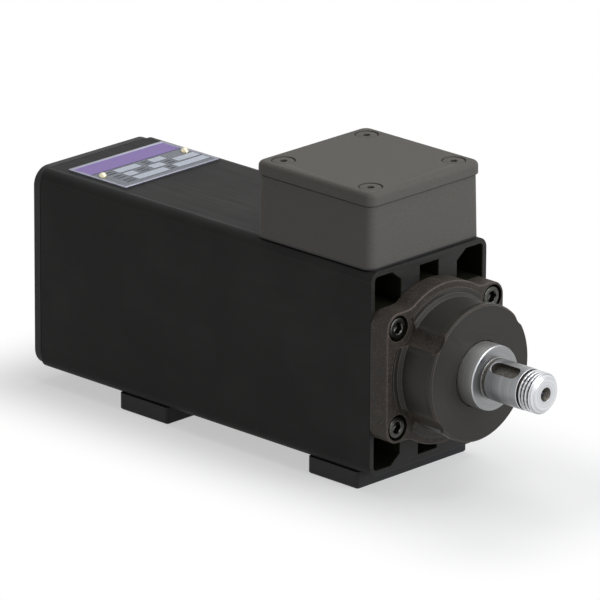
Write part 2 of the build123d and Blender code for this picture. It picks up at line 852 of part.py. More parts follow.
def make_lid_gasket():
    """Flat seal on the rim, widened round the lid screws."""
    narrowing = box_inset + box_height * math.tan(math.radians(box_draft))
    outline = box_outline(narrowing, box_corner - narrowing) - box_outline(lid_wall, box_corner - box_wall)
    for x, y in lid_screw_places():
        outline += Pos(x, y) * Circle(lid_boss_radius)
    for x, y in lid_screw_places():
        outline -= Pos(x, y) * Circle(M5_clearance)
    return Pos(0, 0, box_rim) * extrude(outline, seam_thickness)


def make_terminal_lid():
    lid = Pos(0, 0, lid_base) * extrude(box_outline(0, box_corner), lid_height)
    lid = fillet(lid.edges().group_by(Axis.Z)[-1], lid_edge)
    inner = box_outline(lid_wall, box_corner - box_wall)
    room = Pos(0, 0, lid_base) * extrude(inner, lid_height - lid_plate)
    for x, y in lid_screw_places():
        room -= peg(x, y, lid_base, lid_top, lid_boss_radius + lid_boss_wall)
    lid -= room
    for x, y in lid_screw_places():
        lid -= peg(x, y, lid_base, lid_top, M5_clearance)
        lid -= peg(x, y, lid_screw_seat, lid_top, lid_recess_radius)
    return lid


def make_lid_screws():
    screw = cap_screw(M5, lid_screw_length)
    return group([Pos(x, y, lid_screw_seat) * screw for x, y in lid_screw_places()])


def make_box_screws():
    screw = cap_screw(M5, box_screw_length)
    return group([Pos(x, y, floor_z) * screw for x, y in box_corners(box_screw_x, box_screw_y)])


def make_earth_screw():
    seat = floor_z + earth_boss_height
    return Pos(earth_x, earth_y, seat) * cap_screw(M4, earth_screw_length)


# ---- Terminal block and motor leads

def stud_places():
    """Two rows of three studs."""
    return [
        (box_x + column * stud_spacing_x, block_y + row * stud_spacing_y / 2)
        for column in (-1, 0, 1) for row in (-1, 1)
    ]


def make_terminal_block():
    block = Pos(box_x, block_y, floor_z) * extrude(Rectangle(block_length, block_width), block_height)
    block = chamfer(block.edges().group_by(Axis.Z)[-1], block_edge)
    for end in (-1, 1):
        x = box_x + end * block_screw_x
        block -= peg(x, block_y, floor_z, block_top, M4_clearance)
        block -= peg(x, block_y, floor_z + block_screw_rest, block_top, M4[0] + head_clearance)
    for x, y in stud_places():
        block -= peg(x, y, floor_z + stud_root, block_top, stud_radius)
    return block


def make_block_screws():
    screw = cap_screw(M4, block_screw_length)
    seat = floor_z + block_screw_rest
    return group([Pos(box_x + end * block_screw_x, block_y, seat) * screw for end in (-1, 1)])


def make_terminal_studs():
    high = block_top + stud_height
    return group([peg(x, y, floor_z + stud_root, high, stud_radius) for x, y in stud_places()])


def make_terminal_links():
    """Straps that join the studs of each pair."""
    strap = SlotOverall(stud_spacing_y + link_width, link_width, rotation=90)
    links = Sketch() + [Pos(box_x + column * stud_spacing_x, block_y) * strap for column in (-1, 0, 1)]
    for x, y in stud_places():
        links -= Pos(x, y) * Circle(stud_radius)
    return Pos(0, 0, block_top) * extrude(links, link_thickness)


def make_terminal_nuts():
    outline = RegularPolygon(nut_across_flats / 2, 6, major_radius=False) - Circle(stud_radius)
    nut = extrude(outline, nut_height)
    return group([Pos(x, y, block_top + link_thickness) * nut for x, y in stud_places()])


def make_lead_sleeve():
    """Rubber sleeve that guides the leads out of the housing."""
    sleeve = peg(lead_x, lead_y, floor_z - sleeve_length, floor_z, lead_hole_radius)
    sleeve += peg(lead_x, lead_y, floor_z, floor_z + sleeve_head, lead_hole_radius + sleeve_head)
    inner = lead_hole_radius - sleeve_wall
    return sleeve - peg(lead_x, lead_y, floor_z - sleeve_length, floor_z + sleeve_head, inner)


def make_lead(column):
    """One lead: off the winding, up through the sleeve and into the side of the terminal block."""
    turn = math.radians(150 + 120 * (column + 1))
    x = lead_x + lead_spread * math.cos(turn)
    y = lead_y + lead_spread * math.sin(turn)
    foot = axis_z + math.sqrt(winding_outer ** 2 - (y - lead_radius) ** 2)
    level = floor_z + lead_height
    stud_x = box_x + column * stud_spacing_x
    block_side = block_y + block_width / 2
    route = FilletPolyline(
        (x, y, foot), (x, y, level), (stud_x, block_side + lead_straight, level),
        (stud_x, block_side, level), radius=lead_bend,
    )
    section = Plane(origin=route @ 0, z_dir=route % 0) * Circle(lead_radius)
    return sweep(section, path=route)


def make_motor_leads():
    return group([make_lead(column) for column in (-1, 0, 1)])


# ---- Nameplate

def rivet_places():
    return [(plate_x, plate_centre_y + end * rivet_spacing / 2) for end in (-1, 1)]


def make_nameplate():
    outline = RectangleRounded(plate_length, plate_width, plate_corner)
    plate = Pos(plate_x, plate_centre_y, top) * extrude(outline, plate_thickness)
    for x, y in rivet_places():
        plate -= peg(x, y, top, top + plate_thickness, rivet_stem)
    return plate


def make_nameplate_rivets():
    """Domed rivets with their stems in the housing."""
    seat = top + plate_thickness
    dome_radius = (rivet_radius ** 2 + rivet_height ** 2) / (2 * rivet_height)
    rivets = []
    for x, y in rivet_places():
        dome = Pos(x, y, seat + rivet_height - dome_radius) * Sphere(dome_radius)
        dome &= peg(x, y, seat, seat + rivet_height, 2 * rivet_radius)
        rivets.append(dome + peg(x, y, top - channel_wall, seat, rivet_stem))
    return group(rivets)


# ---- The assembly

def bearings():
    """The three ball bearings by name."""
    front_size = (front_bearing_bore, front_bearing_outer, front_bearing_width)
    rear_size = (rear_bearing_bore, rear_bearing_outer, rear_bearing_width)
    front_x = bearing_shoulder - front_bearing_width / 2
    middle_x = front_x - front_bearing_width
    rear_x = (rear_bearing_back + rear_bearing_front) / 2
    return {
        "front": Bearing(front_x, *front_size, front_ball_radius, front_ball_count),
        "middle": Bearing(middle_x, *front_size, front_ball_radius, front_ball_count),
        "rear": Bearing(rear_x, *rear_size, rear_ball_radius, rear_ball_count),
    }


def assembly():
    """Every node of the spindle by name."""
    nodes = {
        "housing": make_housing(),
        "front_foot": make_foot(foot_pitch / 2),
        "rear_foot": make_foot(-foot_pitch / 2),
        "foot_screws": make_foot_screws(),
        "front_flange": make_front_flange(),
        "flange_screws": make_flange_screws(),
        "shaft_seal": make_shaft_seal(),
        "bearing_cap": make_bearing_cap(),
        "bearing_cap_screws": make_bearing_cap_screws(),
        "shaft": make_shaft(),
        "bearing_lock_nut": make_bearing_lock_nut(),
        "rotor_core": make_rotor_core(),
        "rotor_end_rings": make_rotor_end_rings(),
        "stator_core": make_stator_core(),
        "stator_windings": make_stator_windings(),
        "rear_shield": make_rear_shield(),
        "rear_shield_screws": make_rear_shield_screws(),
        "wave_spring": make_wave_spring(),
        "fan": make_fan(),
        "fan_clip": make_fan_clip(),
        "rear_cover": make_rear_cover(),
        "rear_cover_screws": make_rear_cover_screws(),
        "box_gasket": make_box_gasket(),
        "terminal_box": make_terminal_box(),
        "box_screws": make_box_screws(),
        "lid_gasket": make_lid_gasket(),
        "terminal_lid": make_terminal_lid(),
        "lid_screws": make_lid_screws(),
        "terminal_block": make_terminal_block(),
        "block_screws": make_block_screws(),
        "terminal_studs": make_terminal_studs(),
        "terminal_links": make_terminal_links(),
        "terminal_nuts": make_terminal_nuts(),
        "earth_screw": make_earth_screw(),
        "lead_sleeve": make_lead_sleeve(),
        "motor_leads": make_motor_leads(),
        "nameplate": make_nameplate(),
        "nameplate_rivets": make_nameplate_rivets(),
    }
    for place, bearing in bearings().items():
        nodes[place + "_bearing_outer_ring"] = bearing.outer_ring()
        nodes[place + "_bearing_inner_ring"] = bearing.inner_ring()
        nodes[place + "_bearing_balls"] = bearing.balls()
        nodes[place + "_bearing_cage"] = bearing.cage()
    return nodes


os.makedirs("parts", exist_ok=True)
for name, part in assembly().items():
    export_step(part, f"parts/{name}.step")
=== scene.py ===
"""Looks of a foot-mounted motor spindle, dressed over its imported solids.

Sizes are in millimetres unless a name says otherwise, and meshes are written in metres.
+X runs along the spindle axis towards the shaft end and +Z is up.
"""

import json
import logging
import math
from collections.abc import Sequence
from dataclasses import dataclass, fields
from enum import Enum

import bmesh
import bpy
from mathutils import Matrix, Vector

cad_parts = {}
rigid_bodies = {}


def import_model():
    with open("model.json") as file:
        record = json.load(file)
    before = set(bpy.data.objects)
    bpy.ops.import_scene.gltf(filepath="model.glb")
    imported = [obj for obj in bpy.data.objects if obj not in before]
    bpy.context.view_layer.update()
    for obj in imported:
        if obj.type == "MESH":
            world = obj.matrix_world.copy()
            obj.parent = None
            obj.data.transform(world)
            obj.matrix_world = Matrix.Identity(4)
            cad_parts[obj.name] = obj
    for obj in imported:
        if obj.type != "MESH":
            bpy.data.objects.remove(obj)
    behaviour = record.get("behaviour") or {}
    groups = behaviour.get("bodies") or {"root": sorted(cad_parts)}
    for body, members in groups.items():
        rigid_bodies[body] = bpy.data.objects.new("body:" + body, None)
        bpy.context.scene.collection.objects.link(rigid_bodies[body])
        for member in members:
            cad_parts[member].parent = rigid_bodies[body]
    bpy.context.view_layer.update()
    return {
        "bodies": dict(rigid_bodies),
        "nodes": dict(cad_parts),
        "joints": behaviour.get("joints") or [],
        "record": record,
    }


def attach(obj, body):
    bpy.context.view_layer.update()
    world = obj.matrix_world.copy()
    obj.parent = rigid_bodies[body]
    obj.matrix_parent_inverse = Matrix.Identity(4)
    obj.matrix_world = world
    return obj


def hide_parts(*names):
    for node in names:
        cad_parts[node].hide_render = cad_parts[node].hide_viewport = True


LOG = logging.getLogger("motor_spindle")
MM = 0.001
AXIS_Z = 70.0          # height of the spindle axis over the floor
FRONT = 105.5          # housing front face
REAR = -156.5          # housing rear face
TOP = 130.0            # housing top face
HALF_HEIGHT = 60.0     # of the housing, from the axis
HALF_WIDTH = 47.0
SAME = 0.1             # places less than this apart belong to the same feature

# Turns that bring a fastener's head from +Z to the way it points.
UP, DOWN = Vector((0, 0, 0)), Vector((math.pi, 0, 0))
FORWARD, BACKWARD = Vector((0, math.pi / 2, 0)), Vector((0, -math.pi / 2, 0))

Colour = tuple[float, float, float, float]
Place = tuple[float, float, float]
Socket = bpy.types.NodeSocket


# ---------------------------------------------------------------- nodes and colours

def srgb(code: str) -> Colour:
    """Turn an sRGB hex colour into linear RGBA.

    Args:
        code: six hex digits.

    Returns:
        Linear red, green, blue and an alpha of 1.
    """
    parts = [int(code[i:i + 2], 16) / 255 for i in (0, 2, 4)]
    linear = [c / 12.92 if c <= 0.04045 else ((c + 0.055) / 1.055) ** 2.4 for c in parts]
    return (*linear, 1.0)


def add_node(tree: bpy.types.NodeTree, kind: str, inputs: dict | None = None,
             **settings: str | float | bool) -> bpy.types.Node:
    """Add one node with its settings and links.

    Args:
        tree: the tree that gets the node.
        kind: the node's type name.
        inputs: for each input's name or index, a socket to link or a plain value.
        settings: attributes of the node itself.

    Returns:
        The new node.
    """
    node = tree.nodes.new(kind)
    for name, value in settings.items():
        setattr(node, name, value)
    for key, value in (inputs or {}).items():
        if isinstance(value, bpy.types.NodeSocket):
            tree.links.new(value, node.inputs[key])
        else:
            node.inputs[key].default_value = value
    return node


# ---------------------------------------------------------------- finishes

@dataclass(frozen=True)
class Surface:
    """A material in the making."""

    tree: bpy.types.NodeTree
    shader: bpy.types.Node     # its Principled shader
    place: Socket              # object coordinates in metres, from the spindle axis

    def vary(self, colour: Socket, height: Socket, relief: float) -> None:
        """Let the colour and the height of the surface follow a pattern.

        Args:
            colour: the base colour.
            height: the pattern.
            relief: its height in millimetres.
        """
        bump = add_node(self.tree, "ShaderNodeBump", {
            "Height": height, "Strength": 1.0, "Distance": relief * MM})
        self.tree.links.new(colour, self.shader.inputs["Base Color"])
        self.tree.links.new(bump.outputs[0], self.shader.inputs["Normal"])

    def patch(self, colour: str, size: float, detail: float, span: tuple[float, float],
              cover: float) -> None:
        """Lay patches of another colour over what the surface has so far.

        Args:
            colour: of the patches.
            size: millimetres between two patches.
            detail: octaves of their outline.
            span: values of the noise where a patch starts and where it is full.
            cover: share of the colour in a full patch.
        """
        ground = self.shader.inputs["Base Color"].links[0].from_socket
        noise = add_node(self.tree, "ShaderNodeTexNoise", {
            "Vector": self.place, "Scale": 1000 / size, "Detail": detail}).outputs[0]
        amount = add_node(self.tree, "ShaderNodeMapRange", {
            "Value": noise, "From Min": span[0], "From Max": span[1], "To Max": cover})
        mixed = add_node(self.tree, "ShaderNodeMix", {
            0: amount.outputs[0], 6: ground, 7: srgb(colour)}, data_type="RGBA")
        self.tree.links.new(mixed.outputs[2], self.shader.inputs["Base Color"])


@dataclass(frozen=True)
class Finish:
    """A surface finish: an even base colour broken up by its own grain."""

    name: str
    colour: str
    shade: str                 # second colour that the grain mixes in
    roughness: float
    metallic: float = 0.0
    ior: float = 1.5
    grain: float = 2.0         # mm between two grains
    relief: float = 0.02       # mm height of the grain
    spread: float = 0.08       # change of roughness over the grain
    stretch: Place = (1.0, 1.0, 1.0)
    gloss: float = 0.5         # specular level, 0.5 for a smooth surface

    def material(self) -> bpy.types.Material:
        """Build the finish.

        Returns:
            A material with the shader and its pattern.
        """
        material = bpy.data.materials.new(self.name)
        material.use_nodes = True
        tree = material.node_tree
        tree.nodes.clear()
        shader = add_node(tree, "ShaderNodeBsdfPrincipled", {
            "Base Color": srgb(self.colour), "Roughness": self.roughness,
            "Metallic": self.metallic, "IOR": self.ior, "Specular IOR Level": self.gloss})
        add_node(tree, "ShaderNodeOutputMaterial", {"Surface": shader.outputs[0]})
        place = add_node(tree, "ShaderNodeTexCoord").outputs["Object"]
        centred = add_node(tree, "ShaderNodeVectorMath", {0: place, 1: (0, 0, -AXIS_Z * MM)},
                           operation="ADD").outputs[0]
        self.detail(Surface(tree, shader, centred))
        return material

    def along(self, surface: Surface) -> Socket:
        """Scale the places so that grains are longer along some axes.

        Args:
            surface: the material in the making.

        Returns:
            Coordinates for the grain.
        """
        return add_node(surface.tree, "ShaderNodeMapping", {
            "Vector": surface.place, "Scale": self.stretch}).outputs[0]

    def detail(self, surface: Surface) -> None:
        """Vary colour, roughness and height with the grain.

        Args:
            surface: the material in the making.
        """
        tree = surface.tree
        # Nearly all of this noise lies between 0.3 and 0.7.
        noise = add_node(tree, "ShaderNodeTexNoise", {
            "Vector": self.along(surface), "Scale": 1000 / self.grain,
            "Detail": 4.0, "Roughness": 0.6}).outputs[0]
        share = add_node(tree, "ShaderNodeMapRange", {
            "Value": noise, "From Min": 0.35, "From Max": 0.65})
        tone = add_node(tree, "ShaderNodeMix", {
            0: share.outputs[0], 6: srgb(self.colour), 7: srgb(self.shade)}, data_type="RGBA")
        matt = add_node(tree, "ShaderNodeMapRange", {
            "Value": noise, "From Min": 0.3, "From Max": 0.7,
            "To Min": self.roughness - self.spread, "To Max": self.roughness + self.spread})
        tree.links.new(matt.outputs[0], surface.shader.inputs["Roughness"])
        surface.vary(tone.outputs[2], noise, self.relief)


@dataclass(frozen=True)
class LatheTurned(Finish):
    """Metal cut on a lathe: fine grooves that run round the axis, on cylinders and on faces."""

    def along(self, surface: Surface) -> Socket:
        """Turn a place into its distance along the axis and from it.

        Args:
            surface: the material in the making.

        Returns:
            A vector that doesn't change round the axis.
        """
        tree = surface.tree
        parts = add_node(tree, "ShaderNodeSeparateXYZ", {0: surface.place}).outputs
        across = add_node(tree, "ShaderNodeCombineXYZ", {1: parts[1], 2: parts[2]}).outputs[0]
        radius = add_node(tree, "ShaderNodeVectorMath", {0: across}, operation="LENGTH")
        return add_node(tree, "ShaderNodeCombineXYZ", {
            0: parts[0], 1: radius.outputs["Value"]}).outputs[0]


@dataclass(frozen=True)
class Mottled(Finish):
    """A coating with fine grain and wide, faint clouds where it was handled or dried unevenly."""

    cloud: float = 40.0        # mm between two clouds
    clouded: str = "303030"    # colour of the clouds
    cover: float = 0.5         # share of that colour in a cloud

    def detail(self, surface: Surface) -> None:
        """Add the grain, then the clouds over its colour.

        Args:
            surface: the material in the making.
        """
        super().detail(surface)
        surface.patch(self.clouded, self.cloud, 3.0, (0.4, 0.7), self.cover)


@dataclass(frozen=True)
class SandCast(Mottled):
    """A painted sand casting, with pale specks where grains of sand broke the paint."""

    speck: str = "6f675d"      # colour of the specks
    speck_size: float = 0.9    # mm between two specks
    speck_cover: float = 0.5   # share of that colour in a speck

    def detail(self, surface: Surface) -> None:
        """Add the grain and clouds, then the specks over their colour.

        Args:
            surface: the material in the making.
        """
        super().detail(surface)
        surface.patch(self.speck, self.speck_size, 1.0, (0.61, 0.73), self.speck_cover)


@dataclass(frozen=True)
class Stacked(Finish):
    """Thin sheets or turns laid side by side along the axis."""

    pitch: float = 2.0         # mm from one seam to the next

    def detail(self, surface: Surface) -> None:
        """Add the seams between the sheets.

        Args:
            surface: the material in the making.
        """
        # At scale 1 a Wave texture has 10 / pi waves a metre.
        waves = 1000 / self.pitch * math.pi / 10
        wave = add_node(surface.tree, "ShaderNodeTexWave", {
            "Vector": surface.place, "Scale": waves, "Distortion": 0.2},
            bands_direction="X").outputs[0]
        tone = add_node(surface.tree, "ShaderNodeMix", {
            0: wave, 6: srgb(self.shade), 7: srgb(self.colour)}, data_type="RGBA")
        surface.vary(tone.outputs[2], wave, self.relief)


class Coat(Enum):
    """The finishes on this spindle."""

    # Anodised aluminium extrusion: nearly black, satin, with faint drawing lines along its length.
    HOUSING = Mottled("anodised_extrusion", "111110", "181817", 0.56, grain=3.0, relief=0.008,
                      spread=0.05, stretch=(0.05, 1, 1), clouded="212120", cover=0.9, gloss=0.13)
    # The same extrusion where it was sawn to length: a shade lighter, with marks across it.
    SAWN = Finish("sawn_and_anodised_end", "171715", "1f1f1d", 0.5, grain=1.5, relief=0.01,
                  stretch=(1, 0.12, 1), gloss=0.25)
    # Painted shade: a dull dark olive without sheen on the walls of the air channels and in the
    # flange screws' counterbores, so that these hollows read as shaded.
    CHANNEL = Finish("painted_shade_in_hollows", "1a1a14", "212119", 0.85, grain=2.0, relief=0.02,
                     stretch=(0.05, 1, 1), gloss=0.02)
    # Painted highlight: thin lighter lines where the corner's curve meets the flat sides, in place
    # of the highlights along these edges.
    DIE_LINE = Finish("die_line", "191918", "201f1e", 0.52, grain=3.0, relief=0.005,
                      stretch=(0.05, 1, 1), gloss=0.14)
    # Edges where the anodising is rubbed thin, partly wear and partly a painted highlight along
    # them: grey lines.
    RUBBED_EDGE = Finish("anodised_edge_rubbed_and_highlighted", "4b4c4d", "353637", 0.4, grain=2.5, relief=0.01)
    # Anodised flat bar, a shade more matt than the extrusion.
    FOOT = Mottled("anodised_bar", "1d1d1e", "242425", 0.55, grain=2.0, relief=0.01,
                   clouded="282829", cover=0.5, gloss=0.25)
    # Sand-cast iron under a dark brown wash paint: coarse pits that catch the light.
    CASTING = SandCast("washed_sand_casting", "1f1b18", "332d27", 0.6, grain=1.6, relief=0.3,
                       spread=0.12, cloud=9.0, clouded="3c362f", cover=0.5, gloss=0.3)
    # The same casting where the lathe cut it: smooth, with rings too fine to feel.
    TURNED_CASTING = LatheTurned("turned_casting", "252320", "2e2c28", 0.45, grain=0.5,
                                 relief=0.004, spread=0.05, gloss=0.25)
    # Corners of the casting where the paint is thin and the brown shows through, partly wear and
    # partly a painted highlight along these edges.
    WORN_CASTING = Finish("casting_edge_rubbed_and_highlighted", "3b332e", "554a43", 0.55, grain=1.5, relief=0.02,
                          gloss=0.3)
    # Wrinkle enamel on a die casting: warm grey with a fine, even texture.
    BOX = Mottled("wrinkle_enamel", "4d4b47", "595753", 0.64, grain=0.9, relief=0.08, spread=0.1,
                  cloud=30.0, clouded="545450", cover=0.4, gloss=0.22)
    # Plain die casting inside the box and at the motor's rear.
    DIE_CAST = Finish("die_cast_aluminium", "9a9a9c", "7e7e82", 0.5, 1.0, grain=1.5, relief=0.05)
    # Turned and ground steel: bright, with fine rings round the axis.
    SHAFT = LatheTurned("ground_steel", "9a9b9c", "898a8b", 0.34, 1.0, grain=0.45, relief=0.004,
                        spread=0.06)
    # Collar turned with a blunt tool: grey, with a wide soft sheen.
    COLLAR = LatheTurned("turned_steel_collar", "dadad9", "bcbcbc", 0.4, 1.0, grain=0.8,
                         relief=0.008, spread=0.05)
    # Steel faced with a coarser feed, so that its rings can be seen.
    FACED = LatheTurned("faced_steel", "e8e9ec", "b0b1b4", 0.3, 1.0, grain=0.9, relief=0.01,
                        spread=0.08)
    # Dull milled steel, darker than the shaft as painted shade in the hollows: the keyway, the
    # grooves and the bottom of the thread.
    MILLED = Finish("end_mill_finish_with_painted_shade", "726e69", "4e4b47", 0.52, 1.0, grain=1.0, relief=0.02)
    # Through-hardened bearing steel with a near mirror polish.
    BEARING = LatheTurned("polished_bearing_steel", "bfc0c2", "b0b1b4", 0.14, 1.0, grain=0.6,
                          relief=0.001, spread=0.03)
    # Glass-filled polyamide: tan and slightly cloudy.
    CAGE = Finish("glass_filled_polyamide", "9e8554", "8c7548", 0.5, grain=1.0, ior=1.53)
    # Black oxide on alloy steel: dark, oily, with soft highlights.
    OXIDE = Finish("black_oxide_steel", "3b3c3e", "2c2d2f", 0.34, 1.0, grain=1.2, relief=0.006)
    # Alloy steel whose black finish is nearly rubbed off: grey and satin.
    RUBBED_STEEL = Finish("rubbed_alloy_steel", "5a5a56", "3e3e3b", 0.3, 1.0, grain=1.6,
                          relief=0.01)
    # Zinc plate: pale and slightly cloudy.
    ZINC = Finish("zinc_plated_steel", "b4b4ae", "9b9b95", 0.32, 1.0, grain=2.5, relief=0.005)
    # Stacked electrical sheets: every seam is a dark line (drawn 2 mm apart so that it shows).
    LAMINATION = Stacked("stacked_sheets", "6a6a6e", "3f3f43", 0.45, 0.9, relief=0.03)
    # Varnished copper wire: brown-red turns side by side (drawn 2.8 mm apart so that they show).
    WINDING = Stacked("varnished_copper", "7d4424", "4f2815", 0.35, 0.6, pitch=2.8, relief=0.15)
    # Glass-filled nylon of the fan: matt black.
    FAN = Finish("moulded_nylon", "1b1b1b", "232323", 0.55, grain=1.0, relief=0.01)
    # Nitrile rubber: black and dull.
    RUBBER = Finish("nitrile_rubber", "141414", "1c1c1c", 0.7, grain=0.8, relief=0.01, ior=1.52)
    # Thermoset of the terminal board: brown-black with a dull sheen.
    BLOCK = Finish("phenolic_moulding", "2b1c14", "38261b", 0.45, grain=1.5, ior=1.6)
    # Brass as turned: warm yellow.
    BRASS = Finish("turned_brass", "c2a05e", "a88848", 0.28, 1.0, grain=1.0, relief=0.004)
    # Polished nickel silver of the drive rivets: cream-white with a sharp highlight.
    RIVET = Finish("polished_nickel_silver", "e6dfc4", "cfc6a4", 0.2, 1.0, grain=1.5, relief=0.003)
    # Silicone over stranded copper: soft red.
    LEAD = Finish("silicone_sleeving", "5a1e18", "6a2a22", 0.5, grain=1.0, ior=1.43)
    # Bare anodised sheet of the nameplate: pale with a rolled grain across it.
    SHEET = Finish("rolled_aluminium", "9c9dab", "8b8c9a", 0.35, 1.0, grain=0.7, relief=0.004,
                   stretch=(1, 0.05, 1))
    # Printed ink on the sheet.
    PURPLE_INK = Finish("purple_ink", "6f55a0", "8468b0", 0.42, grain=0.9, relief=0.005)
    PALE_INK = Finish("pale_ink", "c6ccd8", "b0b8c6", 0.45, grain=0.9, relief=0.005)
    DARK_INK = Finish("dark_ink", "2b2f36", "3a3f48", 0.5, grain=0.9, relief=0.005, gloss=0.3)
    FIELD_INK = Finish("grey_ink", "70757f", "5e636d", 0.45, grain=0.9, relief=0.005)

    def material(self) -> bpy.types.Material:
        """The finish's material, built once."""
        return bpy.data.materials.get(self.value.name) or self.value.material()


# ---------------------------------------------------------------- meshes

def piece_from(mesh: bpy.types.Mesh, name: str) -> bpy.types.Object:
    """Put a mesh in the scene as a piece.

    Args:
        mesh: the piece's mesh, in metres and in place.
        name: the piece's name.

    Returns:
        The new object.
    """
    piece = bpy.data.objects.new(name, mesh)
    bpy.context.scene.collection.objects.link(piece)
    return piece


def mesh_from(form: bmesh.types.BMesh, name: str, coats: Sequence[Coat],
              sharp: float = 30.0) -> bpy.types.Mesh:
    """Turn an edited form into a shaded mesh with its finishes.

    Args:
        form: the form, which is freed.
        name: the mesh's name.
        coats: finishes in the order of the faces' material indices.
        sharp: angle in degrees above which an edge stays sharp.

    Returns:
        The mesh.
    """
    mesh = bpy.data.meshes.new(name)
    form.to_mesh(mesh)
    form.free()
    for coat in coats:
        mesh.materials.append(coat.material())
    mesh.shade_smooth()
    mesh.set_sharp_from_angle(angle=math.radians(sharp))
    return mesh


def shaped(form: bmesh.types.BMesh, name: str, coats: Sequence[Coat],
           sharp: float = 30.0) -> bpy.types.Object:
    """Put an edited form in the scene as a piece, with its finishes."""
    return piece_from(mesh_from(form, name, coats, sharp), name)


def finished(piece: bpy.types.Object) -> bpy.types.Object:
    """Turn a piece's modifiers into a plain mesh.

    Args:
        piece: the piece with its modifiers.

    Returns:
        The same object with its final mesh and no modifiers.
    """
    bpy.context.view_layer.update()
    depsgraph = bpy.context.evaluated_depsgraph_get()
    mesh = bpy.data.meshes.new_from_object(piece.evaluated_get(depsgraph))
    piece.modifiers.clear()
    piece.data = mesh
    return piece


def bevelled(piece: bpy.types.Object, width: float, segments: int,
             **settings: str | float | bool) -> bpy.types.Object:
    """Break a piece's edges and make it a plain mesh.

    Args:
        piece: the piece.
        width: of the broken edges, in millimetres.
        segments: faces across an edge.
        settings: other settings of the modifier, such as which edges it takes.

    Returns:
        The same object, finished.
    """
    bevel = piece.modifiers.new("broken_edges", "BEVEL")
    bevel.width = width * MM
    bevel.segments = segments
    for name, value in settings.items():
        setattr(bevel, name, value)
    return finished(piece)


def four_seats(middle: Place, first: Place, second: Place) -> list[Vector]:
    """Four places round a middle, each way along two directions.

    Args:
        middle: the middle, in millimetres.
        first: the way to the far pair.
        second: the way between the two of a pair.

    Returns:
        The places.
    """
    return [Vector([m + a * f + b * g for m, f, g in zip(middle, first, second)])
            for a in (-1, 1) for b in (-1, 1)]


def merged_copy(node: bpy.types.Object) -> bmesh.types.BMesh:
    """Copy a node's loose triangles into one closed form with clean flat faces.

    Args:
        node: the carried-over node.

    Returns:
        The merged form.
    """
    form = bmesh.new()
    form.from_mesh(node.data)
    bmesh.ops.remove_doubles(form, verts=form.verts, dist=2e-6)
    bmesh.ops.dissolve_limit(form, angle_limit=math.radians(0.4), verts=form.verts,
                             edges=form.edges, delimit={"NORMAL"})
    bmesh.ops.dissolve_degenerate(form, dist=1e-6, edges=form.edges)
    return form


def keep_outer_shell(form: bmesh.types.BMesh) -> None:
    """Delete the closed pockets inside a form, which nothing can look into.

    Args:
        form: the form, whose outer shell has the most faces.
    """
    unseen = set(form.faces)
    shells = []
    while unseen:
        # The list grows while it is walked, until it holds the whole shell.
        shell = [unseen.pop()]
        for face in shell:
            nearby = {other for edge in face.edges for other in edge.link_faces} & unseen
            unseen -= nearby
            shell.extend(nearby)
        shells.append(shell)
    pockets = [face for shell in shells if len(shell) < max(map(len, shells)) for face in shell]
    bmesh.ops.delete(form, geom=pockets, context="FACES")


@dataclass(kw_only=True)
class SubAssembly:
    """A group of pieces that are built and dressed together."""

    frame: dict
    coats: tuple[Coat, ...] = ()   # finishes of its main piece

    def number(self, coat: Coat) -> int:
        """Number of a finish among those of the main piece."""
        return self.coats.index(coat)

    def coat(self, coat: Coat, *nodes: str) -> None:
        """Give carried-over nodes a finish.

        Args:
            coat: the finish.
            nodes: names of the nodes.
        """
        for name in nodes:
            mesh = self.frame["nodes"][name].data
            mesh.materials.clear()
            mesh.materials.append(coat.material())
            LOG.info("%s: %s", name, coat.value.name)

    def place(self, piece: bpy.types.Object, body: str, slot: str, *nodes: str) -> None:
        """Hang a piece on its body in the place of nodes.

        Args:
            piece: the piece, in place.
            body: the body that it moves with.
            slot: the record's material slot; not used.
            nodes: the nodes that it stands for.
        """
        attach(piece, body)
        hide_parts(*nodes)
        LOG.info("%s: %d faces", piece.name, len(piece.data.polygons))


# ---------------------------------------------------------------- screws and rivets

@dataclass(frozen=True)
class TurnedFastener:
    """A screw or rivet, by the sizes that its tree turns it from."""

    head: float                # radius of the head
    height: float              # of the head over its seat
    core: float                # radius of the shank
    length: float              # of the shank under the seat
    taper: float = 0.0         # depth of a countersunk head's cone
    edge: float = 0.5          # rounding of the crown's edge
    socket: float = 0.0        # half of the hexagon's width across its flats
    depth: float = 0.0         # of the hexagon

    def sizes(self) -> dict[str, float]:
        """The sizes in metres, by their names, which are those of the tree's inputs."""
        return {size.name: getattr(self, size.name) * MM for size in fields(self)}


@dataclass(frozen=True)
class ProfileRow:
    """One row of a fastener's profile. Its places are sums of shares of the fastener's sizes."""

    radius: dict[str, float]
    height: dict[str, float]
    hexagon: float = 0.0       # 1 where the row follows the socket's six flats


# The shank from its tip, with a small chamfer, to the seat of the head.
SHANK = (
    ProfileRow({}, {"length": -1.0}),
    ProfileRow({"core": 0.8}, {"length": -1.0}),
    ProfileRow({"core": 1.0}, {"length": -1.0, "core": 0.2}),
    ProfileRow({"core": 1.0}, {"taper": -1.0}),
    ProfileRow({"head": 1.0}, {}),
)
# The rounded crown, then the socket's countersunk mouth, its six flats and the drill's cone.
SOCKET_HEAD = (
    ProfileRow({"head": 1.0}, {"height": 1.0, "edge": -1.0}),
    ProfileRow({"head": 1.0, "edge": -0.3}, {"height": 1.0, "edge": -0.3}),
    ProfileRow({"head": 1.0, "edge": -1.0}, {"height": 1.0}),
    ProfileRow({"socket": 1.22}, {"height": 1.0}),
    ProfileRow({"socket": 1.0}, {"height": 1.0, "socket": -0.16}, 1.0),
    ProfileRow({"socket": 1.0}, {"height": 1.0, "depth": -1.0}, 1.0),
    ProfileRow({}, {"height": 1.0, "depth": -1.0, "socket": -0.4}),
)
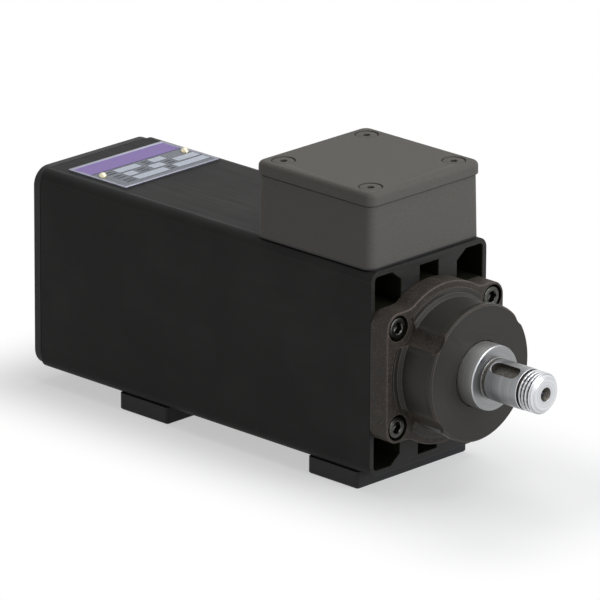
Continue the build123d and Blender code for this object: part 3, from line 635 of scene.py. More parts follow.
# A quarter of an ellipse from the rim to the top.
DOME_HEAD = tuple(ProfileRow({"head": math.cos(step * math.pi / 16)},
                             {"height": math.sin(step * math.pi / 16)}) for step in range(1, 9))


class Crown(Enum):
    """Shape of a fastener, by the rows of its profile from the tip of the shank."""

    SOCKET = SHANK + SOCKET_HEAD
    DOME = SHANK + DOME_HEAD


class FastenerTree:
    """Geometry Nodes tree that turns a fastener's profile and sets it at every point of a mesh."""

    COLUMNS = 49               # vertices round the axis; the last column lies on the first
    SIXTH = math.pi / 3        # turn from one flat of the hexagon to the next

    def __init__(self, crown: Crown = Crown.SOCKET) -> None:
        """Build the tree.

        Args:
            crown: shape of the fasteners.
        """
        self.tree = bpy.data.node_groups.new(f"{crown.name.lower()}_fasteners", "GeometryNodeTree")
        interface = self.tree.interface
        interface.new_socket("Geometry", in_out="OUTPUT", socket_type="NodeSocketGeometry")
        sizes = [(size.name, "Float") for size in fields(TurnedFastener)]
        inputs = [("Geometry", "Geometry"), *sizes, ("Turn", "Vector"), ("Spin Seed", "Int"),
                  ("Material", "Material")]
        for name, kind in inputs:
            interface.new_socket(name, in_out="INPUT", socket_type=f"NodeSocket{kind}")
        self.given = add_node(self.tree, "NodeGroupInput").outputs
        self.repeat(self.turned_shape(crown.value))

    def added_up(self, shares: dict[str, float]) -> Socket | float:
        """Add up shares of the fastener's sizes.

        Args:
            shares: a factor for each size that counts.

        Returns:
            The sum's socket, or 0 when no size counts.
        """
        total = 0.0
        for name, share in shares.items():
            total = add_node(self.tree, "ShaderNodeMath", {
                0: self.given[name], 1: share, 2: total}, operation="MULTIPLY_ADD").outputs[0]
        return total

    def turned_shape(self, rows: Sequence[ProfileRow]) -> Socket:
        """Bend a grid of rows and columns round the axis and close its seam and poles.

        Args:
            rows: the profile.

        Returns:
            The fastener's mesh, its axis along Z and its seat at the origin.
        """
        tree = self.tree
        grid = add_node(tree, "GeometryNodeMeshGrid", {
            "Vertices X": len(rows), "Vertices Y": self.COLUMNS})
        index = add_node(tree, "GeometryNodeInputIndex").outputs[0]
        row, column = (add_node(tree, "FunctionNodeIntegerMath", {0: index, 1: self.COLUMNS},
                                operation=part).outputs[0] for part in ("DIVIDE", "MODULO"))
        choice = add_node(tree, "GeometryNodeIndexSwitch", {0: row}, data_type="VECTOR")
        while len(choice.index_switch_items) < len(rows):
            choice.index_switch_items.new()
        for number, line in enumerate(rows, 1):
            spot = add_node(tree, "ShaderNodeCombineXYZ", {
                0: self.added_up(line.radius), 1: line.hexagon, 2: self.added_up(line.height)})
            tree.links.new(spot.outputs[0], choice.inputs[number])
        radius, hexagon, height = add_node(tree, "ShaderNodeSeparateXYZ", {
            0: choice.outputs[0]}).outputs
        angle = add_node(tree, "ShaderNodeMath", {0: column, 1: math.tau / (self.COLUMNS - 1)},
                         operation="MULTIPLY").outputs[0]
        # From the middle of a flat to its corners the radius grows as 1 / cosine.
        growth = angle
        for operation, amount in (("MODULO", self.SIXTH), ("SUBTRACT", self.SIXTH / 2),
                                  ("COSINE", 0.0), ("POWER", -1.0)):
            growth = add_node(tree, "ShaderNodeMath", {0: growth, 1: amount},
                              operation=operation).outputs[0]
        share = add_node(tree, "ShaderNodeMix", {0: hexagon, 2: 1.0, 3: growth}).outputs[0]
        reach = add_node(tree, "ShaderNodeMath", {0: radius, 1: share}, operation="MULTIPLY")
        profile = add_node(tree, "ShaderNodeCombineXYZ", {0: reach.outputs[0], 2: height})
        spun = add_node(tree, "ShaderNodeVectorRotate", {
            "Vector": profile.outputs[0], "Angle": angle}, rotation_type="Z_AXIS")
        bent = add_node(tree, "GeometryNodeSetPosition", {
            "Geometry": grid.outputs[0], "Position": spun.outputs[0]})
        return add_node(tree, "GeometryNodeMergeByDistance", {
            "Geometry": bent.outputs[0], "Distance": 1e-6}).outputs[0]

    def repeat(self, shape: Socket) -> None:
        """Set the shape at every point, each with its own spin, and finish it.

        Args:
            shape: the fastener's mesh.
        """
        tree, given = self.tree, self.given
        copies = add_node(tree, "GeometryNodeInstanceOnPoints", {
            "Points": given["Geometry"], "Instance": shape, "Rotation": given["Turn"]})
        # Input 3 is the largest value of a random plain number.
        chance = add_node(tree, "FunctionNodeRandomValue", {
            3: self.SIXTH, "Seed": given["Spin Seed"]}, data_type="FLOAT")
        spin = add_node(tree, "ShaderNodeCombineXYZ", {2: chance.outputs[1]})
        spun = add_node(tree, "GeometryNodeRotateInstances", {
            "Instances": copies.outputs[0], "Rotation": spin.outputs[0], "Local Space": True})
        real = add_node(tree, "GeometryNodeRealizeInstances", {"Geometry": spun.outputs[0]})
        coated = add_node(tree, "GeometryNodeSetMaterial", {
            "Geometry": real.outputs[0], "Material": given["Material"]})
        add_node(tree, "NodeGroupOutput", {"Geometry": coated.outputs[0]})

    def set_at(self, name: str, fastener: TurnedFastener, seats: list[Vector], turn: Vector,
               coat: Coat, seed: int = 1) -> bpy.types.Object:
        """Make one piece of all the fasteners of one kind.

        Args:
            name: the piece's name.
            fastener: the fastener's sizes.
            seats: where the heads sit, in millimetres.
            turn: rotation that brings +Z to the direction of the heads, in radians.
            coat: the finish.
            seed: of the random spin.

        Returns:
            The piece, a plain mesh.
        """
        points = bpy.data.meshes.new(name)
        points.from_pydata([seat * MM for seat in seats], [], [])
        piece = piece_from(points, name)
        modifier = piece.modifiers.new("fasteners", "NODES")
        modifier.node_group = self.tree
        values = {**fastener.sizes(), "Turn": turn, "Spin Seed": seed, "Material": coat.material()}
        for item in self.tree.interface.items_tree:
            if item.in_out == "INPUT" and item.name in values:
                modifier[item.identifier] = values[item.name]
        finished(piece)
        form = bmesh.new()
        form.from_mesh(piece.data)
        bmesh.ops.dissolve_degenerate(form, dist=1e-7, edges=form.edges)
        bmesh.ops.recalc_face_normals(form, faces=form.faces)
        piece.data = mesh_from(form, name, [coat])
        return piece


# ---------------------------------------------------------------- sub-assemblies

@dataclass(kw_only=True)
class Housing(SubAssembly):
    """The extruded housing on its two feet."""

    coats: tuple[Coat, ...] = (Coat.HOUSING, Coat.SAWN, Coat.CHANNEL, Coat.RUBBED_EDGE,
                               Coat.DIE_LINE)
    foot_screw: TurnedFastener = TurnedFastener(
        head=6.3, height=0.0, core=2.5, length=19.0, taper=3.8, edge=0.0, socket=2.0, depth=2.5)
    foot_x: float = 75.0
    foot_screw_y: float = 14.0
    sink: float = 0.3              # depth of the screw heads under the feet's faces
    corner: float = 6.5            # radius of the four long edges
    die_line: float = 0.5          # width of the painted highlight lines beside them
    die_line_up: float = 1.2       # how far the painted highlight lines on the sides run into the corners' curves
    inside: float = 3.0            # depth under the outer faces at which the channels and their painted shade start
    edge: float = 0.35             # width of the rubbed edges, which carry a painted highlight too

    def finish_at(self, face: bmesh.types.BMFace) -> Coat:
        """Tell the outside, the sawn ends and the channels and bores apart, and give the channels
        and bores painted shade.

        Args:
            face: a face of the extrusion.

        Returns:
            Its finish.
        """
        centre = face.calc_center_median() / MM
        if abs(face.normal.x) > 0.9:
            return Coat.SAWN
        # Faces this far inside, in the channels and bores, get painted shade.
        in_painted_shade = (abs(centre.y) < HALF_WIDTH - self.inside
                and abs(centre.z - AXIS_Z) < HALF_HEIGHT - self.inside)
        return Coat.CHANNEL if in_painted_shade else Coat.HOUSING

    def draw_die_lines(self, form: bmesh.types.BMesh) -> None:
        """Cut a narrow strip along each side where the corners' curves start, and give it the
        painted highlight line.

        Args:
            form: the extrusion.
        """
        half_y, half_z = HALF_WIDTH - self.corner, HALF_HEIGHT - self.corner + self.die_line_up
        for normal, offset in (((0, 1, 0), half_y), ((0, 0, 1), half_z)):
            for side in (-1, 1):
                for shift in (0.0, self.die_line):
                    place = Vector(normal) * side * (offset - shift) + Vector((0, 0, AXIS_Z))
                    bmesh.ops.bisect_plane(form, geom=form.verts[:] + form.edges[:] + form.faces[:],
                                           plane_co=place * MM, plane_no=normal, dist=1e-7)
        for face in form.faces:
            centre = face.calc_center_median() / MM
            y, z = abs(centre.y), abs(centre.z - AXIS_Z)
            on_top = z > HALF_HEIGHT - SAME and half_y - self.die_line < y < half_y
            on_side = y > HALF_WIDTH - 2 * SAME and half_z - self.die_line < z < half_z
            if face.material_index == self.number(Coat.HOUSING) and (on_top or on_side):
                face.material_index = self.number(Coat.DIE_LINE)

    def extrusion(self) -> bpy.types.Object:
        """Build the extrusion with its sawn ends, channels in painted shade, painted highlight
        lines along its corners and rubbed front edges that partly carry a painted highlight.

        Returns:
            The finished piece.
        """
        form = merged_copy(self.frame["nodes"]["housing"])
        for face in form.faces:
            face.material_index = self.number(self.finish_at(face))
        sawn = self.number(Coat.SAWN)
        weight = form.edges.layers.float.new("bevel_weight_edge")
        for edge in form.edges:
            finishes = {face.material_index for face in edge.link_faces}
            at_end = all(abs(vert.co.x / MM - FRONT) < SAME for vert in edge.verts)
            edge[weight] = float(at_end and sawn in finishes and len(finishes) == 2)
        self.draw_die_lines(form)
        return bevelled(shaped(form, "housing_extrusion", self.coats), self.edge, 1,
                        limit_method="WEIGHT", material=self.number(Coat.RUBBED_EDGE))

    def build(self, fasteners: FastenerTree) -> None:
        """Dress the extrusion and the feet and set the foot screws.

        Args:
            fasteners: the tree that makes screws.
        """
        self.place(self.extrusion(), "frame", "housing_coating", "housing")
        self.coat(Coat.FOOT, "front_foot", "rear_foot")
        seats = four_seats((0, 0, self.sink), (self.foot_x, 0, 0), (0, self.foot_screw_y, 0))
        screws = fasteners.set_at("foot_screw_set", self.foot_screw, seats, DOWN, Coat.OXIDE)
        self.place(screws, "frame", "dark_screw", "foot_screws")


@dataclass(kw_only=True)
class BearingNose(SubAssembly):
    """The cast flange and bearing nose with its screws and seal."""

    coats: tuple[Coat, ...] = (Coat.CASTING, Coat.TURNED_CASTING, Coat.WORN_CASTING, Coat.CHANNEL)
    screw: TurnedFastener = TurnedFastener(
        head=6.2, height=8.0, core=3.4, length=20.0, edge=0.8, socket=3.0, depth=4.0)
    screw_y: float = 38.0
    screw_z: float = 29.0
    screw_seat: float = 110.0
    plate_face: float = 118.5      # front of the flange
    step_radius: float = 43.4      # the lathe cut everything inside it
    plate_edge: float = 0.9        # rounding of the flange's front edge
    clearance: float = 11.1        # radius round each screw that is left as cast
    bore: float = 7.5              # radius of each screw's counterbore
    edge: float = 0.35             # width of the rubbed edges, which carry a painted highlight too

    def finish_at(self, face: bmesh.types.BMFace) -> Coat:
        """Tell cast, turned and rubbed faces apart, the rubbed ones partly a painted highlight, and
        give the screws' counterbores painted shade.

        Args:
            face: a face of the casting.

        Returns:
            Its finish.
        """
        centre = face.calc_center_median() / MM
        y, z = centre.y, centre.z - AXIS_Z
        beside = math.hypot(abs(y) - self.screw_y, abs(z) - self.screw_z)
        # The walls of each screw's counterbore get painted shade.
        if beside < self.bore + SAME and face.normal.x < 0.5:
            return Coat.CHANNEL
        # The slanted band of the flange's front edge is rubbed and carries a painted highlight.
        slanted = 0.2 < face.normal.x < 0.97
        if slanted and self.plate_face - self.plate_edge < centre.x < self.plate_face:
            return Coat.WORN_CASTING
        in_step = centre.x > self.plate_face + SAME and math.hypot(y, z) < self.step_radius
        turned = (in_step and beside > self.clearance) or centre.x < FRONT - SAME
        return Coat.TURNED_CASTING if turned else Coat.CASTING

    def casting(self) -> bpy.types.Object:
        """Build the casting: turned and cast faces with rubbed edges between them, which partly
        carry a painted highlight.

        Returns:
            The finished piece.
        """
        form = merged_copy(self.frame["nodes"]["front_flange"])
        for face in form.faces:
            face.material_index = self.number(self.finish_at(face))
        return bevelled(shaped(form, "nose_casting", self.coats), self.edge, 2,
                        limit_method="ANGLE", angle_limit=math.radians(38),
                        material=self.number(Coat.WORN_CASTING), harden_normals=True)

    def build(self, fasteners: FastenerTree) -> None:
        """Dress the casting and set its screws.

        Args:
            fasteners: the tree that makes screws.
        """
        self.place(self.casting(), "frame", "nose_casting", "front_flange")
        self.coat(Coat.RUBBER, "shaft_seal")
        self.coat(Coat.DIE_CAST, "bearing_cap")
        self.coat(Coat.OXIDE, "bearing_cap_screws")
        seats = four_seats((self.screw_seat, 0, AXIS_Z), (0, self.screw_y, 0), (0, 0, self.screw_z))
        screws = fasteners.set_at("flange_screw_set", self.screw, seats, FORWARD, Coat.RUBBED_STEEL)
        self.place(screws, "frame", "dark_screw", "flange_screws")


@dataclass(frozen=True)
class Thread:
    """A helical thread on the end of the shaft."""

    start: float = 184.5
    end: float = 191.6
    crest: float = 11.8
    pitch: float = 2.5
    depth: float = 1.3
    first_valley: float = 183.7
    crest_share: float = 0.36      # of the pitch that stays at full height
    root_share: float = 0.24       # of the pitch at full depth
    fade: float = 0.5              # length over which it fades out at each end

    def radius(self, x: float, turn: float) -> float:
        """Radius of the thread at a place.

        Args:
            x: along the axis.
            turn: round the axis, 0 to 1.

        Returns:
            The radius in millimetres.
        """
        phase = (x - self.first_valley) / self.pitch - turn
        away = abs(phase - round(phase))
        flank = (1 - self.crest_share - self.root_share) / 2
        rise = min(max((away - self.root_share / 2) / flank, 0.0), 1.0)
        share = min((x - self.start) / self.fade, (self.end - x) / self.fade, 1.0)
        return self.crest - self.depth * (1 - rise) * max(share, 0.0)


@dataclass(kw_only=True)
class Spindle(SubAssembly):
    """The shaft and what turns with it."""

    coats: tuple[Coat, ...] = (Coat.SHAFT, Coat.FACED, Coat.MILLED, Coat.COLLAR)
    thread: Thread = Thread()
    thread_step: float = 0.1       # from one row of the thread to the next
    oily: float = 0.6              # share of the thread's depth under which it gets painted shade
    columns: int = 144             # faces round the shaft
    sharp: float = 18.0            # degrees above which an edge stays sharp
    collar_radius: float = 18.6
    collar_face: float = 156.2
    edge: float = 0.6              # rounding of the collar
    journal_radius: float = 12.0
    relief_radius: float = 11.4
    relief_corner: float = 0.5     # of the groove's bottom, beside the collar
    journal_start: float = 158.7
    journal_end: float = 182.4
    lead_in: float = 0.25          # chamfer at the journal's start
    lead_out: float = 0.3          # and at its end
    undercut_radius: float = 10.6
    shaft_end: float = 194.1
    end_radius: float = 9.1        # of the end face
    end_edge: tuple[float, float] = (0.25, 0.35)   # its broken edge, along and across
    mouth_radius: float = 4.0
    mouth_edge: float = 0.15
    drill_radius: float = 2.2
    drill_depth: float = 14.0
    drill_cone: float = 1.0
    key_middle: float = 169.7
    key_length: float = 20.0
    key_width: float = 8.0
    key_depth: float = 4.0
    key_turn: float = 33.0         # degrees from straight up, towards -Y
    key_edge: float = 0.25         # its broken edge
    key_clear: float = 2.0         # height of the cutter over the journal
    key_steps: int = 48            # corners of the cutter that mills it
    rear: tuple[tuple[float, float], ...] = (
        (-144.5, 0.0), (-144.5, 6.6), (-144.1, 7.0), (-106.5, 7.0), (-106.5, 9.7), (-106.2, 10.0),
        (-91.5, 10.0), (-91.5, 12.5), (-54.5, 12.5), (-54.5, 14.0), (93.5, 14.0), (93.5, 14.8),
        (103.5, 14.8), (103.5, 15.0), (135.5, 15.0), (135.5, 18.6))

    def profile(self) -> list[tuple[float, float, Coat]]:
        """The shaft's outline behind its thread.

        Returns:
            Rows of place along the axis, radius and finish.
        """
        collar, relief, journal = self.collar_radius, self.relief_radius, self.journal_radius
        face, start, end = self.collar_face, self.journal_start, self.journal_end
        edge, bend, fillet = self.edge, self.edge * 0.3, self.relief_corner
        ground, faced, groove_shade = Coat.SHAFT, Coat.FACED, Coat.MILLED
        # The groove beside the collar and the undercut before the thread get painted shade.
        return [*((x, r, ground) for x, r in self.rear),
                (face - edge, collar, Coat.COLLAR), (face - bend, collar - bend, faced),
                (face, collar - edge, ground),
                (face, relief + fillet, ground), (face + fillet, relief, groove_shade),
                (start - SAME, relief, groove_shade), (start + SAME, journal - self.lead_in, faced),
                (start + SAME + self.lead_in, journal, ground),
                (end - self.lead_out, journal, ground), (end, journal - self.lead_out, faced),
                (end, self.undercut_radius, groove_shade),
                (self.thread.start, self.undercut_radius, groove_shade)]

    def tip(self) -> list[tuple[float, float, Coat]]:
        """The cone, the end face and the centre hole.

        Returns:
            Rows of place along the axis, radius and finish.
        """
        end, mouth, drill = self.shaft_end, self.mouth_radius, self.drill_radius
        along, across = self.end_edge
        inner = end - (mouth - drill) * math.sqrt(3)
        bottom = end - self.drill_depth
        outline = ((end - along, self.end_radius + across), (end, self.end_radius),
                   (end, mouth + self.mouth_edge), (end - self.mouth_edge, mouth),
                   (inner, drill), (bottom, drill), (bottom - self.drill_cone, 0.0))
        return [(x, r, Coat.FACED) for x, r in outline]

    def rows(self) -> list[tuple[float, list[float], Coat]]:
        """All rows from the tail to the centre hole, with a radius for each column.

        Returns:
            Rows of place along the axis, radii and finish.
        """
        thread, columns = self.thread, self.columns
        length = thread.end - thread.start
        count = round(length / self.thread_step)
        places = [thread.start + length * step / count for step in range(count + 1)]
        return [*((x, [r] * columns, coat) for x, r, coat in self.profile()),
                *((x, [thread.radius(x, c / columns) for c in range(columns)], Coat.FACED)
                  for x in places),
                *((x, [r] * columns, coat) for x, r, coat in self.tip())]

    def oiled(self, coat: Coat, x: float, radius: float) -> Coat:
        """Finish of a face, with painted shade at the bottom of the thread.

        Args:
            coat: the row's own finish.
            x: along the axis.
            radius: at the face.

        Returns:
            The finish.
        """
        thread = self.thread
        in_painted_shade = radius < thread.crest - self.oily * thread.depth
        return Coat.MILLED if in_painted_shade and thread.start + thread.fade < x <= thread.end else coat

    def blank(self) -> bmesh.types.BMesh:
        """Turn the rows into a closed shaft without its keyway.

        Returns:
            The form.
        """
        form = bmesh.new()
        angles = [math.tau * c / self.columns for c in range(self.columns)]
        previous = None
        for x, radii, coat in self.rows():
            if radii[0] == 0.0:
                ring = [form.verts.new(Vector((x, 0, AXIS_Z)) * MM)] * self.columns
            else:
                ring = [form.verts.new(Vector((x, r * math.sin(a), AXIS_Z + r * math.cos(a))) * MM)
                        for r, a in zip(radii, angles)]
            for c in range(self.columns if previous else 0):
                after = (c + 1) % self.columns
                corners = [previous[c], ring[c], ring[after], previous[after]]
                face = form.faces.new(list(dict.fromkeys(corners)))
                face.material_index = self.number(self.oiled(coat, x, radii[c]))
                face.smooth = True
            previous = ring
        bmesh.ops.recalc_face_normals(form, faces=form.faces)
        return form

    def key_slot(self) -> bpy.types.Object:
        """Build the cutter for the round-ended keyway.

        Returns:
            A cutter piece that is removed after the cut.
        """
        form = bmesh.new()
        half, reach = self.key_width / 2, (self.key_length - self.key_width) / 2
        low = self.journal_radius - self.key_depth
        high = self.journal_radius + self.key_clear
        turn = (Matrix.Translation((0, 0, AXIS_Z))
                @ Matrix.Rotation(math.radians(self.key_turn), 4, "X"))
        rings = []
        for level in (low, high):
            ring = []
            for step in range(self.key_steps):
                angle = math.tau * (step + 0.5) / self.key_steps
                x = self.key_middle + half * math.cos(angle) + math.copysign(reach, math.cos(angle))
                ring.append(form.verts.new(turn @ Vector((x, half * math.sin(angle), level)) * MM))
            rings.append(ring)
            form.faces.new(ring)
        for c in range(self.key_steps):
            form.faces.new((rings[0][c], rings[1][c], rings[1][c - 1], rings[0][c - 1]))
        bmesh.ops.recalc_face_normals(form, faces=form.faces)
        # The keyway's walls get the dull milled finish with painted shade.
        for face in form.faces:
            face.material_index = self.number(Coat.MILLED)
        return shaped(form, "key_slot", self.coats)

    def shaft(self) -> bpy.types.Object:
        """Build the shaft with its thread and keyway.

        Returns:
            The finished piece.
        """
        shaft = shaped(self.blank(), "keyed_shaft", self.coats, self.sharp)
        cutter = self.key_slot()
        cut = shaft.modifiers.new("keyway", "BOOLEAN")
        cut.operation = "DIFFERENCE"
        cut.solver = "EXACT"
        cut.object = cutter
        finished(shaft)
        bpy.data.objects.remove(cutter)
        form = bmesh.new()
        form.from_mesh(shaft.data)
        self.break_key_edge(form)
        shaft.data = mesh_from(form, "keyed_shaft", self.coats, self.sharp)
        return shaft

    def break_key_edge(self, form: bmesh.types.BMesh) -> None:
        """Bevel the keyway's edge a little, where it meets the journal.

        Args:
            form: the cut shaft.
        """
        sides = {self.number(Coat.SHAFT), self.number(Coat.MILLED)}
        rim = [edge for edge in form.edges if len(edge.link_faces) == 2
               and {face.material_index for face in edge.link_faces} == sides]
        made = bmesh.ops.bevel(form, geom=rim, offset=self.key_edge * MM, segments=1,
                               affect="EDGES", clamp_overlap=True)
        for face in made["faces"]:
            face.material_index = self.number(Coat.FACED)

    def build(self) -> None:
        """Dress the shaft and the rotor."""
        self.place(self.shaft(), "rotor", "shaft_steel", "shaft")
        self.coat(Coat.OXIDE, "bearing_lock_nut")
        self.coat(Coat.LAMINATION, "rotor_core")
        self.coat(Coat.DIE_CAST, "rotor_end_rings")
        self.coat(Coat.FAN, "fan")
        self.coat(Coat.OXIDE, "fan_clip")


@dataclass(kw_only=True)
class BallBearings(SubAssembly):
    """The front pair and the rear bearing."""

    def build(self) -> None:
        """Dress the rings, balls and cages."""
        for name in ("front", "middle", "rear"):
            self.coat(Coat.BEARING, f"{name}_bearing_outer_ring", f"{name}_bearing_inner_ring")
            node = f"{name}_bearing_balls"
            form = merged_copy(self.frame["nodes"][node])
            balls = shaped(form, f"{name}_ball_set", [Coat.BEARING], sharp=60)
            self.place(balls, f"{name}_cage", "bearing_steel", node)
            self.coat(Coat.CAGE, f"{name}_bearing_cage")


@dataclass(kw_only=True)
class MotorRear(SubAssembly):
    """The stator, the rear bearing's shield and the end cover."""

    screw: TurnedFastener = TurnedFastener(
        head=5.0, height=0.0, core=2.1, length=14.0, taper=2.9, edge=0.0, socket=1.68, depth=2.1)
    screw_y: float = 38.0
    screw_z: float = 29.0
    cover: float = 5.5             # thickness of the end cover
    sink: float = 0.3              # depth of the screw heads under its face

    def build(self, fasteners: FastenerTree) -> None:
        """Dress the rear of the motor and set the cover's screws.

        Args:
            fasteners: the tree that makes screws.
        """
        self.coat(Coat.LAMINATION, "stator_core")
        self.coat(Coat.WINDING, "stator_windings")
        self.coat(Coat.DIE_CAST, "rear_shield")
        self.coat(Coat.ZINC, "rear_shield_screws", "wave_spring")
        self.coat(Coat.FOOT, "rear_cover")
        seats = four_seats((REAR - self.cover + self.sink, 0, AXIS_Z), (0, self.screw_y, 0),
                           (0, 0, self.screw_z))
        screws = fasteners.set_at("rear_cover_screw_set", self.screw, seats, BACKWARD, Coat.OXIDE)
        self.place(screws, "frame", "dark_screw", "rear_cover_screws")


@dataclass(kw_only=True)
class TerminalBox(SubAssembly):
    """The terminal box with its lid and board."""

    lid_screw: TurnedFastener = TurnedFastener(
        head=6.35, height=5.05, core=2.1, length=16.0, edge=0.4, socket=2.0, depth=2.5)
    centre_x: float = 58.3
    screw_inset: float = 33.5
    screw_seat: float = 169.0
    recess: float = 5.6            # radius of a screw's recess in the solid
    wide_recess: float = 6.9       # and as drawn
    edge: float = 0.3              # width of the lid's broken edges
    corner_centre: float = 35.85   # of the solid's corner arcs, from the box's middle
    corner_inner: float = 5.5      # arcs inside this radius stay
    tighter: float = 3.0           # less radius than the solid's corners
    rim: float = 166.5             # top of the box body
    outer: float = 41.5            # half size beyond which its rim is the outer one
    groove: float = 0.5            # broken edge under the lid, seen as a dark line

    def tightened(self, node: str) -> bmesh.types.BMesh:
        """Copy a node of the box and round its four corners less.

        Args:
            node: the node's name.

        Returns:
            The form, its corners as tight as the mould's.
        """
        form = merged_copy(self.frame["nodes"][node])
        for vert in form.verts:
            # The arc's centre and radius move together, so that the flat walls stay in place.
            place = vert.co.xy / MM
            side = Vector((math.copysign(1, place.x - self.centre_x), math.copysign(1, place.y)))
            centre = Vector((self.centre_x, 0)) + side * self.corner_centre
            reach = place - centre
            in_corner = min(reach * side) > 0.01
            if in_corner and reach.length > self.corner_inner:
                less = self.tighter * (side - reach.normalized())
                vert.co.xy = (place + less) * MM
        return form

    def seal(self, node: str, name: str) -> None:
        """Cut a rubber seal to the box's tighter corners.

        Args:
            node: the seal's node.
            name: the piece's name.
        """
        seal = shaped(self.tightened(node), name, [Coat.RUBBER])
        self.place(seal, "frame", "seal_rubber", node)

    def body(self) -> bpy.types.Object:
        """Build the box body with the broken outer edge under its lid.

        Returns:
            The finished piece.
        """
        form = self.tightened("terminal_box")
        keep_outer_shell(form)
        weight = form.edges.layers.float.new("bevel_weight_edge")
        for edge in form.edges:
            at_rim = all(abs(vert.co.z / MM - self.rim) < SAME for vert in edge.verts)
            middle = (edge.verts[0].co + edge.verts[1].co) / (2 * MM)
            place = Vector((middle.x - self.centre_x, middle.y, 0))
            outside = max(abs(place.x), abs(place.y)) > self.outer
            walls = [face for face in edge.link_faces if abs(face.normal.z) < 0.5]
            edge[weight] = float(at_rim and outside and len(walls) == 1
                                 and place.dot(walls[0].normal) > 0)
        body = shaped(form, "box_body", [Coat.BOX])
        return bevelled(body, self.groove, 1, limit_method="WEIGHT")

    def lid(self) -> bpy.types.Object:
        """Build the lid with its screw recesses and broken edges.

        Returns:
            The finished piece.
        """
        form = self.tightened("terminal_lid")
        for vert in form.verts:
            x, y, z = vert.co / MM
            screw = Vector((self.centre_x + math.copysign(self.screw_inset, x - self.centre_x),
                            math.copysign(self.screw_inset, y)))
            reach = Vector((x, y)) - screw
            if abs(reach.length - self.recess) < SAME and z > self.screw_seat - SAME:
                vert.co.xy = (screw + reach.normalized() * self.wide_recess) * MM
        lid = shaped(form, "box_lid", [Coat.BOX])
        return bevelled(lid, self.edge, 2, limit_method="ANGLE", angle_limit=math.radians(40))

    def build(self, fasteners: FastenerTree) -> None:
        """Dress the box and set the lid's screws.

        Args:
            fasteners: the tree that makes screws.
        """
        self.place(self.body(), "frame", "box_paint", "terminal_box")
        self.place(self.lid(), "frame", "box_paint", "terminal_lid")
        self.seal("box_gasket", "box_seal")
        self.seal("lid_gasket", "lid_seal")
        self.coat(Coat.RUBBER, "lead_sleeve")
        self.coat(Coat.ZINC, "box_screws", "block_screws", "terminal_nuts", "earth_screw")
        self.coat(Coat.BLOCK, "terminal_block")
        self.coat(Coat.BRASS, "terminal_studs", "terminal_links")
        self.coat(Coat.LEAD, "motor_leads")
        seats = four_seats((self.centre_x, 0, self.screw_seat), (self.screw_inset, 0, 0),
                           (0, self.screw_inset, 0))
        screws = fasteners.set_at("lid_screw_set", self.lid_screw, seats, UP, Coat.BOX, 3)
        self.place(screws, "frame", "dark_screw", "lid_screws")


@dataclass(frozen=True)
class PrintedField:
    """A rectangle printed on the plate, measured from its middle."""

    coat: Coat
    x: float                       # middle, along the spindle
    y: float
    length: float                  # along the spindle
    width: float
    level: float                   # height over the plate's panel


